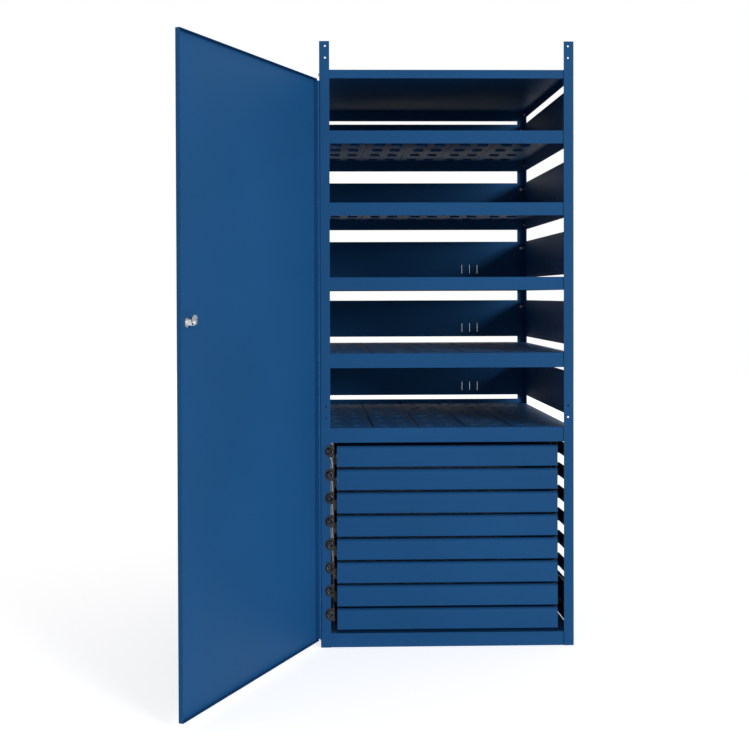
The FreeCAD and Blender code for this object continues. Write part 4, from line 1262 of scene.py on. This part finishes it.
def white_world():
    world = bpy.data.worlds.new("white_room")
    bpy.context.scene.world = world
    world.use_nodes = True
    tree = world.node_tree
    tree.nodes.clear()
    ray = node(tree, "LightPath").outputs
    direct = reckon(tree, "MAXIMUM", ray["Is Camera Ray"], ray["Is Transmission Ray"])
    seen = reckon(tree, "MAXIMUM", direct, ray["Is Glossy Ray"])
    room = node(tree, "Background", {"Color": (1, 1, 1, 1), "Strength": settings("stage").room})
    white = node(tree, "Background", {"Color": (1, 1, 1, 1), "Strength": 1.0})
    both = node(tree, "MixShader", {0: seen, 1: room.outputs[0], 2: white.outputs[0]})
    node(tree, "OutputWorld", {"Surface": both.outputs[0]})


def add_sun(name, strength, azimuth, height, spread):
    """Far lamp in front of the cabinet, turned to the right and raised."""
    lamp = bpy.data.lights.new(name, "SUN")
    lamp.energy = strength
    lamp.angle = spread
    item = bpy.data.objects.new(name, lamp)
    bpy.context.collection.objects.link(item)
    from_lamp = Vector((-math.sin(azimuth) * math.cos(height), math.cos(azimuth) * math.cos(height),
                        -math.sin(height)))
    item.location = from_lamp * -6
    item.rotation_euler = from_lamp.to_track_quat("-Z", "Y").to_euler()


class CABINET_OT_stage(bpy.types.Operator):
    """Lay the floor and set the lamps and the camera"""

    bl_idname = "cabinet.stage"
    bl_label = "Stage"

    def execute(self, context):
        scene = context.scene
        scene.view_settings.view_transform = "Standard"
        floor = settle(add("floor", "circle", vertices=96, radius=14, fill_type="NGON"))
        floor.data.materials.append(floor_material())
        white_world()
        stage = settings("stage")
        add_sun("front_light", stage.key, stage.key_azimuth, stage.key_height, stage.key_spread)
        camera = bpy.data.cameras.new("camera")
        camera.lens = stage.lens * camera.sensor_width
        camera.shift_x, camera.shift_y = stage.shift
        camera.clip_end = 60
        item = bpy.data.objects.new("camera", camera)
        context.collection.objects.link(item)
        tilt, roll, heading = stage.camera_turn
        item.matrix_world = (
            Matrix.Translation(stage.camera_place) @ Matrix.Rotation(heading, 4, "Z")
            @ Matrix.Rotation(math.radians(90) + tilt, 4, "X") @ Matrix.Rotation(roll, 4, "Z"))
        scene.camera = item
        return {"FINISHED"}


# Panel and registration

STEPS = (
    "posts", "trays", "panels", "fasteners", "door", "hinge", "lock", "drawers", "slides", "rails", "stage",
)
GROUPS = {
    "paint": PaintSettings,
    "sheet": SheetSettings,
    "trays": TraySettings,
    "panels": PanelSettings,
    "fittings": FittingSettings,
    "door": DoorSettings,
    "lock": LockSettings,
    "drawers": DrawerSettings,
    "runners": RunnerSettings,
    "stage": StageSettings,
}


class CABINET_PT_sidebar(bpy.types.Panel):
    bl_label = "Cabinet"
    bl_idname = "CABINET_PT_sidebar"
    bl_space_type = "VIEW_3D"
    bl_region_type = "UI"
    bl_category = "Cabinet"

    def draw(self, context):
        for step in STEPS:
            self.layout.operator(f"cabinet.{step}")
        for name, group in GROUPS.items():
            box = self.layout.box()
            box.label(text=name.capitalize())
            for label in group.__annotations__:
                box.prop(settings(name), label)


CLASSES = (
    *GROUPS.values(), CABINET_OT_posts, CABINET_OT_trays, CABINET_OT_panels, CABINET_OT_fasteners,
    CABINET_OT_door, CABINET_OT_hinge, CABINET_OT_lock, CABINET_OT_drawers, CABINET_OT_slides,
    CABINET_OT_rails, CABINET_OT_stage, CABINET_PT_sidebar,
)


def register():
    for item in CLASSES:
        bpy.utils.register_class(item)
    for name, group in GROUPS.items():
        setattr(bpy.types.Scene, f"cabinet_{name}", PointerProperty(type=group))


def unregister():
    for name in GROUPS:
        delattr(bpy.types.Scene, f"cabinet_{name}")
    for item in reversed(CLASSES):
        bpy.utils.unregister_class(item)


def main():
    register()
    for step in STEPS:
        getattr(bpy.ops.cabinet, step)()


if __name__ == "__main__":
    main()
